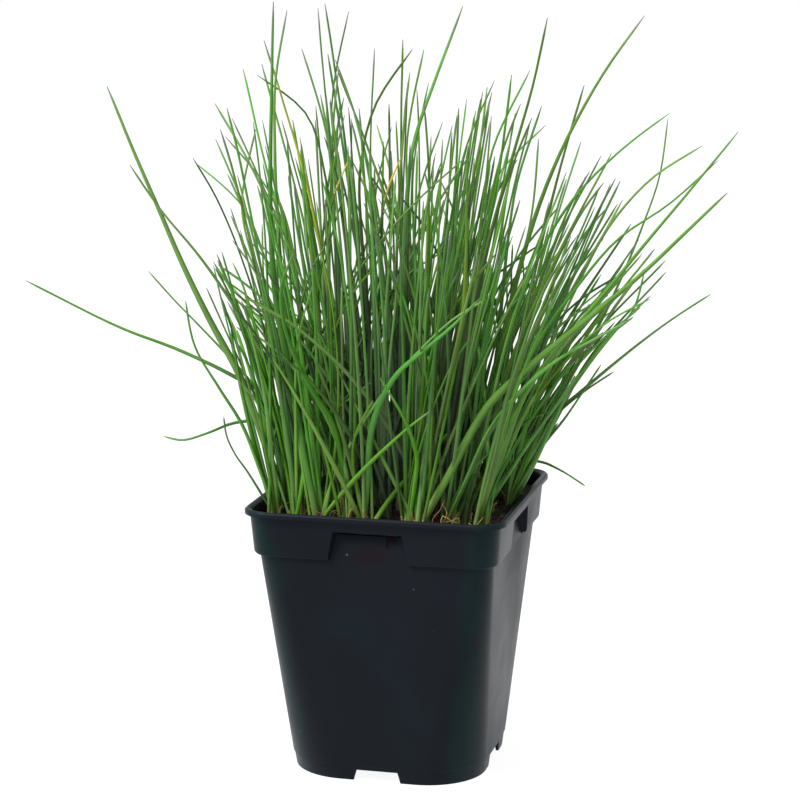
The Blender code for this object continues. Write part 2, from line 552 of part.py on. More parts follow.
class Shoot:
    """A sheath and its leaves, which grow as one piece."""

    def __init__(self, number, across, behind):
        self.number = number
        self.across = across
        self.behind = behind
        self.root = place(across, behind, SOIL_TOP + GAP)
        self.crotch = self.root + Vector((0, 0, SHEATH_HEIGHT))
        self.leaves = []  # (line, radii), in their order round the sheath
        self.top = []  # the corners of the sheath's top, two for each leaf

    def bases(self, shared):
        """Where the next leaf may start: on its own side of a shared sheath, nearest choice first."""
        if not shared:
            return [self.crotch]
        fair = GOLDEN_ANGLE * self.number + 2 * math.pi * len(self.leaves) / LEAVES_IN_SHOOT
        turns = [fair + SIDE_STEP * k for k in (0, 1, -1, 2, -2, 3, -3, 4)]
        return [self.crotch + Vector((math.cos(t), math.sin(t), 0)) * LEAF_OFFSET for t in turns]

    def try_leaf(self, line, radii, clearance):
        if not clear_of_pot(line, radii) or not clearance.is_clear(line, radii, self.number):
            return False
        if not self.arrange([*self.leaves, (line, radii)]):
            return False
        clearance.add(line, radii, self.number)
        return True

    def arrange(self, leaves):
        """Shares the sheath's top out between the leaves so that none passes through another.

        Each share faces its leaf as well as the others allow. Says whether there is such a way.
        """
        count = len(leaves)
        order = sorted(leaves, key=self.side_of)
        spare = [self.side_of(leaf) - 2 * math.pi * i / count for i, leaf in enumerate(order)]
        mean = math.atan2(sum(map(math.sin, spare)), sum(map(math.cos, spare)))
        for attempt in range(SHARE_TRIES):
            shift = (attempt + 1) // 2 * (SHARE_STEP if attempt % 2 else -SHARE_STEP)
            top = self.sheath_corners(count, mean - math.pi / count + shift)
            skins = [leaf_skin(share, leaf) for share, leaf in zip(self.shares(top, count), order)]
            if any(folds(*skin) for skin in skins):
                continue
            trees = [tree for tree, _ in skins] + [self.sheath_tree(top)]
            if not any(one.overlap(other) for one, other in combinations(trees, 2)):
                self.leaves, self.top = order, top
                return True
        return False

    def sheath_corners(self, count, turn):
        sides = max(2 * count, 4)
        radius = SHEATH_RADIUS * math.sqrt(count)
        angles = [turn + 2 * math.pi * i / sides for i in range(sides)]
        return [self.crotch + Vector((math.cos(a), math.sin(a), 0)) * radius for a in angles]

    def sheath_tree(self, top):
        """The sheath's sides for comparing with the leaves, a little lower than they are."""
        down = self.root - self.crotch
        points = [point + down * share for share in (1.0, SHARE_INSET) for point in top]
        sides = len(top)
        return BVHTree.FromPolygons(points, join_rings(range(sides), range(sides, 2 * sides)))

    def shares(self, top, count):
        """The four corners of the sheath's top that each leaf starts from."""
        if count == 1:
            return [top]
        corners = [*top, top[0]]
        return [[self.crotch, *corners[2 * i:2 * i + 3]] for i in range(count)]

    def add_lead(self, width, lean, points, shared, clearance):
        """A leaf that stands out. It shifts in depth only until it clears the leaves before it."""
        radii = leaf_radii(width, stations_for(len(points)))
        for step in range(LEAD_TRIES):
            shift = (step + 1) // 2 * (SHIFT_STEP if step % 2 else -SHIFT_STEP)
            for base in self.bases(shared):
                line = lead_line(base, self.behind, lean * MM + shift, points)
                if self.try_leaf(line, radii, clearance):
                    return
        raise ValueError(f"shoot {self.number}: the leaf to {points[-1]} finds no room")

    def add_plain(self, rng, clearance):
        """A plainer leaf that leans as the clump does there and ends under its crown."""
        for _ in range(PLAIN_TRIES):
            across = read_off(PLAIN_LEAN, self.across) + rng.uniform(-SCATTER, SCATTER)
            behind = self.behind * FAN + rng.uniform(-SCATTER, SCATTER)
            crown = from_board(across, read_off(CROWN, across), behind)
            tip = self.crotch.lerp(crown, rng.uniform(*PLAIN_REACH))
            if abs(tip.y) > DEPTH_LIMIT:
                continue
            radii = leaf_radii(rng.uniform(*PLAIN_WIDTHS), PLAIN_STATIONS)
            for base in self.bases(True):
                line = smooth_line([base, fanned(base, tip), tip], PLAIN_STATIONS)
                if self.try_leaf(line, radii, clearance):
                    return

    def side_of(self, leaf):
        """The angle round the sheath at which the leaf's first stretch leaves it."""
        away = leaf[0][1] - self.crotch
        return math.atan2(away.y, away.x)

    def build(self, parts, material):
        """The sheath is a prism whose top is shared out between the leaves, each a four-sided tube."""
        bm = bmesh.new()
        down = self.root - self.crotch
        bottom = [bm.verts.new(point + down) for point in self.top]
        made = {tuple(point): bm.verts.new(point) for point in [*self.top, self.crotch]}
        top = [made[tuple(point)] for point in self.top]
        bm.faces.new(reversed(bottom))
        for i, corner in enumerate(bottom):
            following = (i + 1) % len(bottom)
            bm.faces.new((corner, bottom[following], top[following], top[i]))
        for share, leaf in zip(self.shares(self.top, len(self.leaves)), self.leaves):
            rings = leaf_rings(share, leaf)
            previous = [made[tuple(point)] for point in share]
            for ring in rings[1:]:
                following = [bm.verts.new(point) for point in ring]
                for face in join_rings(previous, following):
                    bm.faces.new(face)
                previous = following
            tip = bm.verts.new(leaf[0][-1])
            for k, corner in enumerate(previous):
                bm.faces.new((corner, previous[(k + 1) % 4], tip))
        loose = [vertex for vertex in bm.verts if not vertex.link_faces]
        bmesh.ops.delete(bm, geom=loose, context="VERTS")
        return make_object(f"shoot_{self.number:02d}", bm, parts, material)


def leaf_rings(share, leaf):
    """The four-sided sections up a leaf, from its share of the sheath's top to below its tip."""
    line, radii = leaf
    rings = [share]
    outward = share[2] - share[0]
    tangent = Vector((0, 0, 1))
    for i in range(1, len(line) - 1):
        following = (line[i + 1] - line[i - 1]).normalized()
        outward = tangent.rotation_difference(following) @ outward
        tangent = following
        outward = (outward - tangent * outward.dot(tangent)).normalized()
        sideways = tangent.cross(outward)
        rings.append([line[i] + side * radii[i] for side in (-outward, -sideways, outward, sideways)])
    return rings


def join_rings(lower, upper):
    """The triangles between two rings. Each twisted side is split here, so it is split the same everywhere."""
    faces = []
    for i, corner in enumerate(lower):
        following = (i + 1) % len(lower)
        faces.append((corner, lower[following], upper[following]))
        faces.append((corner, upper[following], upper[i]))
    return faces


def leaf_skin(share, leaf):
    """A leaf's surface for comparing with others, its share drawn in so that neighbours don't touch."""
    rings = leaf_rings(share, leaf)
    middle = sum(share, Vector()) / 4
    drawn_in = [corner.lerp(middle, SHARE_INSET) for corner in share]
    points = [point for ring in [drawn_in, *rings[1:]] for point in ring]
    faces = []
    for low in range(0, len(points) - 4, 4):
        faces += join_rings(range(low, low + 4), range(low + 4, low + 8))
    last = len(points) - 4
    faces += [(last + i, last + (i + 1) % 4, len(points)) for i in range(4)]
    return BVHTree.FromPolygons([*points, leaf[0][-1]], faces), faces


def folds(tree, faces):
    """Whether a surface passes through itself anywhere but between faces that share a corner."""
    return any(not set(faces[one]) & set(faces[other]) for one, other in tree.overlap(tree))


def free_root(shoots):
    """The place in the pot that is furthest from every root so far, as (across, behind)."""
    best, widest = None, 0.0
    steps = np.arange(-ROOT_LIMIT, ROOT_LIMIT + MM, ROOT_STEP)
    for x in steps:
        for y in steps:
            spot = Vector((x, y, SOIL_TOP + GAP))
            apart = min((shoot.root - spot).length for shoot in shoots)
            if apart > widest:
                best, widest = spot, apart
    return best.dot(RIGHT), best.dot(AWAY)


def make_shoots(parts, materials):
    """The leaves that stand out are laid first, and the plainer ones find room between them."""
    rng = random.Random(SEED)
    clearance = Clearance()
    shoots = [Shoot(i, row[0] * MM, row[1] * MM) for i, row in enumerate(STANDING_OUT, 1)]
    plain_counts = [row[2] for row in STANDING_OUT]
    while len(shoots) < SHOOTS:
        shoots.append(Shoot(len(shoots) + 1, *free_root(shoots)))
        plain_counts.append(LEAVES_IN_SHOOT)
    for shoot in shoots:
        clearance.add([shoot.root, shoot.crotch], [2 * SHEATH_RADIUS] * 2, shoot.number)
    for shoot, (_, _, plain, leaves) in zip(shoots, STANDING_OUT):
        for width, lean, points in leaves:
            shoot.add_lead(width, lean, points, plain + len(leaves) > 1, clearance)
    for shoot, count in zip(shoots, plain_counts):
        for _ in range(count):
            shoot.add_plain(rng, clearance)
    for shoot in shoots:
        shoot.build(parts, materials[shoot.number % len(materials)])


def main():
    clear_scene()
    parts = make_collection("Potted chives")
    cutters = make_collection("Cutters")
    plastic = make_material("moulded black plastic", "22282b", 0.42)
    peat = make_material("damp peat", "3a2a1e", 0.95)
    greens = [
        make_material("chive leaf, mid green", "4f8f36", 0.45),
        make_material("chive leaf, dark green", "38702f", 0.45),
        make_material("chive leaf, yellow green", "6da23a", 0.45),
    ]
    make_pot(parts, cutters, plastic)
    make_soil(parts, cutters, peat)
    make_shoots(parts, greens)


main()
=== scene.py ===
"""Potted chives, dressed for a close look: the pot, its peat and litter, and the chive leaves.

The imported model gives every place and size. Lengths are in metres and +Z is up.
"""

import math
import random

import bmesh
import bpy
import numpy as np
from bpy.props import FloatProperty, FloatVectorProperty, IntProperty, PointerProperty
from bpy.types import Operator, Panel, PropertyGroup
from mathutils import Matrix, Vector, noise


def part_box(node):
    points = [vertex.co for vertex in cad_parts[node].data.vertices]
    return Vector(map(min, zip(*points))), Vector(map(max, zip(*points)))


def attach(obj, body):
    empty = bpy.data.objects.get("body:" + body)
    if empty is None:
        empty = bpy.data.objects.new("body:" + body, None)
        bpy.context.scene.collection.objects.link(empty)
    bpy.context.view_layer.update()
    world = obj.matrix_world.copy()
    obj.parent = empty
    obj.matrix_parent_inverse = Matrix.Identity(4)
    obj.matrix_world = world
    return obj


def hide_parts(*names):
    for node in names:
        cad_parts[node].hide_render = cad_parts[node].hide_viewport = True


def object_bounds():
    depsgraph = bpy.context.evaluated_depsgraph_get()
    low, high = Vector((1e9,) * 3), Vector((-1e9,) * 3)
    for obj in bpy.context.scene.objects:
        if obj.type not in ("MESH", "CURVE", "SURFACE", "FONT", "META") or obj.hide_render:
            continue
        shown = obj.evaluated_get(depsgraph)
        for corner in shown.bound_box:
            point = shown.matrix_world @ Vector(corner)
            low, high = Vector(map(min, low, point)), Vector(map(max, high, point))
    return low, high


bl_info = {
    "name": "Potted chives",
    "version": (1, 0, 0),
    "blender": (4, 5, 0),
    "location": "3D View > Sidebar > Chives",
    "description": "Dresses the packed model of potted chives with finished pieces and materials",
    "category": "Add Mesh",
}

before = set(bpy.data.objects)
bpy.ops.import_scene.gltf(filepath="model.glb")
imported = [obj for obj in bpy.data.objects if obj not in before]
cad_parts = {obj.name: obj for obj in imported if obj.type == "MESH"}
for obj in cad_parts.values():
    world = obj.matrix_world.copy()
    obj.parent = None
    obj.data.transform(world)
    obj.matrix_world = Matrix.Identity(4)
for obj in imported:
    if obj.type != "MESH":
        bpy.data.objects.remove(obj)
CAD_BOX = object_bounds()
MM = 0.001

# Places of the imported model
POT_LOW, POT_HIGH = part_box("pot")
RIM_WIDTH = POT_HIGH.x - POT_LOW.x
POT_HEIGHT = POT_HIGH.z
SOIL_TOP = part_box("soil")[1].z
SHOOTS = sorted(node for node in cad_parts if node.startswith("shoot"))
SHEATH_HEIGHT = 8.0 * MM
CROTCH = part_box(SHOOTS[0])[0].z + SHEATH_HEIGHT  # where a shoot's leaves part

# Pot, across the flats of its square sections
RIM_CORNER = 12.0 * MM
RIM_DEPTH = 2.4 * MM
COLLAR_TOP_WIDTH = 109.5 * MM
COLLAR_FOOT_WIDTH = 106.7 * MM
COLLAR_CORNER = 9.6 * MM
COLLAR_BASE = 100.4 * MM
COLLAR_EDGE = 0.9 * MM
BODY_TOP_WIDTH = 102.6 * MM
BODY_TOP_CORNER = 9.1 * MM
FOOT_WIDTH = 85.9 * MM
FOOT_CORNER = 26.0 * MM
FOOT_BAND = 6.5 * MM
FOOT_STEP = 0.4 * MM
SHELF = 1.2 * MM
FLOOR_UNDERSIDE = 5.0 * MM
FLOOR_THICKNESS = 1.4 * MM
HOLLOW_DRAFT = 0.5 * MM  # how much narrower the hollow under the floor is at its top, on each side
RECESS_HALF_WIDTH_LOW = 17.0 * MM
RECESS_HALF_WIDTH_HIGH = 14.0 * MM
RECESS_ASIDE = -1.2 * MM  # from the middle of a side to the middle of its recess
RECESS_TOP = 113.2 * MM
RECESS_DRAFT = 1.5 * MM  # how much wider the recess is at its front than at its back, on each side
RECESS_BACK_LOW = BODY_TOP_WIDTH / 2  # from the pot's middle to the back of a recess, at its foot
RECESS_BACK_HIGH = 48.9 * MM  # and at its top
GATE_X, GATE_Z = 8.6 * MM, 109.7 * MM  # the middle of the small pocket in the front recess
GATE_SIZE = (4.8 * MM, 1.6 * MM, 6.2 * MM)  # its width, depth and height
SLIT_HEIGHT, SLIT_DEPTH = 2.0 * MM, 0.8 * MM  # under the top edge of each recess
LIP_CHAMFER, LIP_DROP = 0.8 * MM, 0.8 * MM  # how far the bevel on its outer edge goes inwards and down
LIP_BEAD, LIP_SLOPE = 0.6 * MM, 1.0 * MM  # its raised edge's width, and how far its top slopes down inwards
CUT_CLEAR = 0.02 * MM  # keeps the recess cutters off the body's own face
BEVEL_ANGLE = math.radians(35)  # edges of the pot that bend more than this are rounded
SHADE_ANGLE = math.radians(40)  # edges of the finished pot that bend less than this are shaded smooth
# Painted shade in the front recess and in its small pocket, and a small pale speck there: the place, how far
# it reaches, and the colour
RECESS_SHADE_AND_SPECK = (
    ((-1.0 * MM, -51.0 * MM, 102.8 * MM), (12.0 * MM, 9.0 * MM, 6.5 * MM), "140c10"),
    ((GATE_X, -49.5 * MM, GATE_Z), (3.6 * MM, 4.0 * MM, 3.8 * MM), "12060a"),
    ((-10.8 * MM, -50.8 * MM, 102.8 * MM), (0.7 * MM, 2.0 * MM, 0.7 * MM), "3c4543"),
)
NOTCH_HALF_WIDTH_LOW = 10.8 * MM
NOTCH_HALF_WIDTH_HIGH = 9.2 * MM
NOTCH_HEIGHT = 4.8 * MM
HOLE_RADIUS = 4.5 * MM
HOLE_REACH = 24.0 * MM

# Where the photograph was taken from. Its board stands upright through the pot's middle.
VIEW_TURN = math.radians(14.0)
VIEW_TILT = math.radians(11.65)
VIEW_DISTANCE = 1.1136
VIEW_AIM = Vector((0.0, 0.0, 0.150))
AWAY = Vector((-math.sin(VIEW_TURN), math.cos(VIEW_TURN), 0.0))
RIGHT = Vector((math.cos(VIEW_TURN), math.sin(VIEW_TURN), 0.0))
EYE = (
    VIEW_AIM
    + Vector((0, 0, VIEW_DISTANCE * math.sin(VIEW_TILT)))
    - AWAY * VIEW_DISTANCE * math.cos(VIEW_TILT)
)
EYE_BEHIND = EYE.dot(AWAY)
LENS_SHIFT = (-0.00085, 0.029)  # across and up, as shares of the picture's width

# Leaves that stand out by their colour: the tip on the board (across, height in mm), then the share
# of the leaf's length where the colour is strongest, how far it spreads, and how strong it is
BLUSHES = (
    ((-58, 316), 0.75, 0.45, 0.75),
    ((27, 271), 0.6, 0.4, 0.2),
    ((29, 271), 0.6, 0.4, 0.2),
)


def to_linear(channel):
    """One sRGB channel, 0 to 1, as linear light."""
    return channel / 12.92 if channel <= 0.04045 else ((channel + 0.055) / 1.055) ** 2.4


def linear(srgb_hex):
    """An sRGB hex colour as three linear channels."""
    return [to_linear(int(srgb_hex[i:i + 2], 16) / 255) for i in (0, 2, 4)]


def rgba(colour):
    """A hex colour or three linear channels, with full alpha."""
    return (*(linear(colour) if isinstance(colour, str) else colour), 1.0)


# Settings

class PotSettings(PropertyGroup):
    """The moulded pot."""

    wall: FloatProperty(
        name="Wall", description="Thickness of the moulded wall", default=1.2 * MM, unit="LENGTH")
    edge: FloatProperty(
        name="Edges", description="Radius on the moulded edges", default=0.4 * MM, unit="LENGTH")
    corner_steps: IntProperty(
        name="Corner steps", description="Facets round each corner of the pot", default=14, min=4, max=24)
    plastic: FloatVectorProperty(
        name="Plastic", description="Colour of the black polypropylene", subtype="COLOR",
        default=linear("101217"), min=0, max=1)


class PeatSettings(PropertyGroup):
    """The peat and what lies loose on it."""

    bumps: FloatProperty(
        name="Bumps", description="Height of the lumps in the peat's surface", default=1.5 * MM,
        unit="LENGTH")
    colour: FloatVectorProperty(
        name="Peat", description="Colour of damp peat", subtype="COLOR", default=linear("201712"),
        min=0, max=1)
    crumb_density: FloatProperty(
        name="Crumbs", description="Crumbs on a square metre of peat", default=90000.0, min=0)
    crumb_size: FloatProperty(
        name="Crumb size", description="Radius of the largest crumbs", default=1.2 * MM, unit="LENGTH")
    fibres: IntProperty(
        name="Fibres", description="Straws and root fibres on the peat", default=150, min=0)
    fibre_length: FloatProperty(
        name="Fibre length", description="Length of the longest fibres", default=22 * MM, unit="LENGTH")


class LeafSettings(PropertyGroup):
    """The chive leaves."""

    green: FloatVectorProperty(
        name="Leaf", description="Colour of a full-grown leaf", subtype="COLOR",
        default=linear("46712e"), min=0, max=1)
    base: FloatVectorProperty(
        name="Leaf base", description="Colour of the pale sheath at a leaf's base", subtype="COLOR",
        default=linear("7f8a50"), min=0, max=1)
    width: FloatProperty(
        name="Width", description="Width of the leaves as a share of the packed model's", default=0.8,
        subtype="FACTOR", min=0.5, max=1.5)
    flatness: FloatProperty(
        name="Flatness", description="Thickness of a leaf as a share of its width", default=0.74,
        subtype="FACTOR", min=0.3, max=1)
    sides: IntProperty(name="Sides", description="Facets round a leaf", default=8, min=4, max=16)
    rings: IntProperty(name="Rings", description="Sections along a leaf", default=32, min=8, max=48)
    wobble: FloatProperty(
        name="Wobble", description="How far a leaf strays from a clean curve", default=1.2 * MM,
        unit="LENGTH")
    finest: FloatProperty(
        name="Finest", description="Half the width that a leaf keeps almost to its tip", default=0.52 * MM,
        unit="LENGTH", min=0)
    thin_leaves: IntProperty(
        name="Thin leaves", description="Thin young leaves round each tuft", default=4, min=0)
    front_leaves: IntProperty(
        name="Front leaves", description="Further fanned leaves round each tuft of the front row", default=2,
        min=0)
    skins: IntProperty(
        name="Dry skins", description="Dry papery skins of old sheaths round each tuft", default=2, min=0)
    short_share: FloatProperty(
        name="Short leaves", description="Share of the thin leaves that end low in the clump", default=0.22,
        subtype="FACTOR", min=0, max=1)
    crossing_share: FloatProperty(
        name="Crossing leaves", description="Share of the thin leaves that lean across the others",
        default=0.7, subtype="FACTOR", min=0, max=1)
    scatter: FloatProperty(
        name="Scatter", description="How far a thin leaf's tip strays from its tuft's own direction",
        default=19 * MM, unit="LENGTH", min=0)
    seed: IntProperty(name="Seed", description="Start of every random choice", default=17)


class StageSettings(PropertyGroup):
    """The floor, the light and the camera."""

    floor: FloatProperty(
        name="Floor", description="Width of the square floor", default=9.0, unit="LENGTH")
    sky: FloatProperty(
        name="Surround", description="Strength of the even white light all round", default=1.0, min=0)
    key: FloatProperty(
        name="Key light", description="Power of the soft light from upper left", default=60.0,
        min=0, subtype="POWER")
    lens: FloatProperty(
        name="Lens", description="Focal length", default=114.67, unit="CAMERA", min=10)


# Nodes

def socket_of(sockets, key):
    """The socket with that index, or the shown one with that name."""
    if isinstance(key, int):
        return sockets[key]
    return next(socket for socket in sockets if socket.name == key and socket.enabled)


def add_node(tree, kind, inputs=(), **settings):
    """Adds a node with its settings, and gives its inputs values or links, by name or index.

    A node that is given as a value is linked by its first shown output.
    """
    node = tree.nodes.new(kind)
    for name, value in settings.items():
        setattr(node, name, value)
    for key, value in dict(inputs).items():
        socket = socket_of(node.inputs, key)
        if isinstance(value, bpy.types.Node):
            value = next(output for output in value.outputs if output.enabled)
        if isinstance(value, bpy.types.NodeSocket):
            tree.links.new(value, socket)
        else:
            socket.default_value = value
    return node


def set_ramp(ramp, stops):
    """Gives a colour ramp its stops, as (position, hex or linear colour)."""
    while len(ramp.elements) > 1:
        ramp.elements.remove(ramp.elements[-1])
    ramp.elements[0].position, ramp.elements[0].color = stops[0][0], rgba(stops[0][1])
    for position, colour in stops[1:]:
        ramp.elements.new(position).color = rgba(colour)


def new_material(name):
    """A material with a Principled shader, as (material, its tree, the shader)."""
    material = bpy.data.materials.new(name)
    material.use_nodes = True
    return material, material.node_tree, material.node_tree.nodes["Principled BSDF"]


def new_tree(name, inputs):
    """A Geometry Nodes tree whose inputs are (name, kind, default), as (tree, input, output)."""
    tree = bpy.data.node_groups.new(name, "GeometryNodeTree")
    tree.interface.new_socket("Geometry", in_out="INPUT", socket_type="NodeSocketGeometry")
    for label, kind, default in inputs:
        socket = tree.interface.new_socket(label, in_out="INPUT", socket_type=f"NodeSocket{kind}")
        if default is not None:
            socket.default_value = default
    tree.interface.new_socket("Geometry", in_out="OUTPUT", socket_type="NodeSocketGeometry")
    return tree, tree.nodes.new("NodeGroupInput"), tree.nodes.new("NodeGroupOutput")


def finish_tree(tree, geometry, material, output):
    """Ends a tree in Realize Instances and Set Material."""
    smooth = add_node(tree, "GeometryNodeSetShadeSmooth", {"Geometry": geometry})
    real = add_node(tree, "GeometryNodeRealizeInstances", {"Geometry": smooth})
    dressed = add_node(tree, "GeometryNodeSetMaterial", {"Geometry": real, "Material": material})
    tree.links.new(dressed.outputs[0], output.inputs[0])


def grow(name, mesh, tree, values):
    """Runs a tree on a mesh, and gives the result as an object with a plain mesh."""
    obj = bpy.data.objects.new(name, mesh)
    modifier = obj.modifiers.new(tree.name, "NODES")
    modifier.node_group = tree
    for item in tree.interface.items_tree:
        if item.in_out == "INPUT" and item.name in values:
            modifier[item.identifier] = values[item.name]
    bpy.context.scene.collection.objects.link(obj)
    graph = bpy.context.evaluated_depsgraph_get()
    grown = bpy.data.meshes.new_from_object(obj.evaluated_get(graph), depsgraph=graph)
    grown.name = name
    obj.modifiers.remove(modifier)
    obj.data = grown
    return obj


def new_object(name, bm, material=None, smooth_angle=None):
    """The bmesh as an object, with its material and its smooth shading where they are given."""
    mesh = bpy.data.meshes.new(name)
    bm.to_mesh(mesh)
    bm.free()
    if material is not None:
        mesh.materials.append(material)
    if smooth_angle is not None:
        mesh.shade_smooth()
        mesh.set_sharp_from_angle(angle=smooth_angle)
    obj = bpy.data.objects.new(name, mesh)
    bpy.context.scene.collection.objects.link(obj)
    return obj


def finish_piece(obj, slot, *nodes):
    """A finished piece rides with the pot on the root body and stands for those nodes, which it hides. The
    slot is not used.
    """
    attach(obj, "root")
    if nodes:
        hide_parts(*nodes)


# Pot

def body_half(height):
    """Half the body's outer width at that height."""
    return (FOOT_WIDTH + (BODY_TOP_WIDTH - FOOT_WIDTH) * height / COLLAR_BASE) / 2


def body_corner(height):
    """The radius of the body's corners at that height."""
    share = min(height / COLLAR_BASE, 1.0)
    return FOOT_CORNER + (BODY_TOP_CORNER - FOOT_CORNER) * share


def collar_half(height):
    """Half the collar's outer width at that height."""
    share = (height - COLLAR_BASE) / (POT_HEIGHT - RIM_DEPTH - COLLAR_BASE)
    return (COLLAR_FOOT_WIDTH + (COLLAR_TOP_WIDTH - COLLAR_FOOT_WIDTH) * share) / 2


def recess_back(height):
    """How far from the pot's middle the back of a collar recess is at that height."""
    share = (height - COLLAR_BASE) / (RECESS_TOP - COLLAR_BASE)
    return RECESS_BACK_LOW + (RECESS_BACK_HIGH - RECESS_BACK_LOW) * share


def rounded_square(half, corner, height, steps):
    """One ring of points round a square with round corners, anticlockwise from above."""
    points = []
    for quarter in range(4):
        start = math.radians(90 * quarter)
        middle = Vector((half - corner, half - corner, height))
        middle.rotate(Matrix.Rotation(start, 3, "Z"))
        for step in range(steps + 1):
            angle = start + math.radians(90) * step / steps
            points.append(middle + Vector((math.cos(angle), math.sin(angle), 0)) * corner)
    return points


def loft(rings):
    """A closed bmesh through the rings in turn, with a flat face over the first and the last."""
    bm = bmesh.new()
    rows = [[bm.verts.new(point) for point in ring] for ring in rings]
    for lower, upper in zip(rows, rows[1:]):
        for i, corner in enumerate(lower):
            following = (i + 1) % len(lower)
            bm.faces.new((corner, lower[following], upper[following], upper[i]))
    bm.faces.new(reversed(rows[0]))
    bm.faces.new(rows[-1])
    return bm


def four_wedges(name, low, high, draft=0.0, aside=0.0):
    """A block across each side of the pot. low and high are (height, half width, inner and outer depth).

    The block is wider outside than inside by draft on each side, and stands aside from the side's middle.
    """
    bm = bmesh.new()
    for turn in range(4):
        corners = []
        for height, half_width, inner, outer in (low, high):
            for side in (-1, 1):
                corners.append(bm.verts.new((aside + side * half_width, -inner, height)))
                corners.append(bm.verts.new((aside + side * (half_width + draft), -outer, height)))
        hull = bmesh.ops.convex_hull(bm, input=corners)
        bmesh.ops.delete(bm, geom=hull["geom_interior"], context="VERTS")
        turned = Matrix.Rotation(math.radians(90 * turn), 3, "Z")
        bmesh.ops.rotate(bm, verts=corners, cent=(0, 0, 0), matrix=turned)
    bmesh.ops.recalc_face_normals(bm, faces=bm.faces[:])
    return new_object(name, bm)


def drain_cutters():
    """A round rod through the floor at each of its drain holes, towards the pot's corners."""
    bm = bmesh.new()
    for turn in range(4):
        angle = math.radians(45 + 90 * turn)
        place = Matrix.Translation((HOLE_REACH * math.cos(angle), HOLE_REACH * math.sin(angle),
                                    FLOOR_UNDERSIDE + FLOOR_THICKNESS / 2))
        bmesh.ops.create_cone(bm, cap_ends=True, segments=32, radius1=HOLE_RADIUS, radius2=HOLE_RADIUS,
                              depth=4 * FLOOR_THICKNESS, matrix=place)
    return new_object("drain_cutters", bm)


def gate_cutter():
    """The small square pocket that the mould's slide leaves at the top of the front recess."""
    bm = bmesh.new()
    slope = math.atan2(RECESS_BACK_LOW - RECESS_BACK_HIGH, RECESS_TOP - COLLAR_BASE)
    place = Matrix.Translation((GATE_X, -recess_back(GATE_Z), GATE_Z)) @ Matrix.Rotation(-slope, 4, "X")
    bmesh.ops.create_cube(bm, size=1.0, matrix=place @ Matrix.Diagonal((*GATE_SIZE, 1.0)))
    return new_object("gate_cutter", bm)


def pot_rings(wall, steps):
    """The wall's sections, up its outside, over the lip and down its inside."""
    foot_inside = FOOT_WIDTH / 2 - FOOT_STEP - wall
    band_half = body_half(FOOT_BAND)
    rim_under = POT_HEIGHT - RIM_DEPTH
    shelf = COLLAR_BASE + SHELF
    floor_top = FLOOR_UNDERSIDE + FLOOR_THICKNESS
    mouth_half = collar_half(POT_HEIGHT) - wall
    rings = (
        (foot_inside - HOLLOW_DRAFT, body_corner(FLOOR_UNDERSIDE) - wall, FLOOR_UNDERSIDE),
        (foot_inside, FOOT_CORNER - wall, 0.0),
        (FOOT_WIDTH / 2 - FOOT_STEP, FOOT_CORNER, 0.0),
        (band_half - FOOT_STEP, body_corner(FOOT_BAND), FOOT_BAND - FOOT_STEP),
        (band_half, body_corner(FOOT_BAND), FOOT_BAND),
        (body_half(COLLAR_BASE), BODY_TOP_CORNER, COLLAR_BASE),
        (collar_half(COLLAR_BASE) - COLLAR_EDGE / 2, COLLAR_CORNER, COLLAR_BASE),
        (collar_half(COLLAR_BASE + COLLAR_EDGE), COLLAR_CORNER, COLLAR_BASE + COLLAR_EDGE),
        (collar_half(rim_under), COLLAR_CORNER, rim_under),
        (RIM_WIDTH / 2, RIM_CORNER, rim_under),
        (RIM_WIDTH / 2, RIM_CORNER, POT_HEIGHT - LIP_DROP),
        (RIM_WIDTH / 2 - LIP_CHAMFER, RIM_CORNER - LIP_CHAMFER, POT_HEIGHT),
        (RIM_WIDTH / 2 - LIP_CHAMFER - LIP_BEAD, RIM_CORNER - LIP_CHAMFER - LIP_BEAD, POT_HEIGHT),
        (mouth_half, COLLAR_CORNER - wall, POT_HEIGHT - LIP_SLOPE),
        (collar_half(shelf + COLLAR_EDGE) - wall, COLLAR_CORNER - wall, shelf + COLLAR_EDGE),
        (body_half(shelf) - wall, BODY_TOP_CORNER - wall, shelf),
        (body_half(floor_top) - wall, body_corner(floor_top) - wall, floor_top),
    )
    return [rounded_square(*ring, steps) for ring in rings]


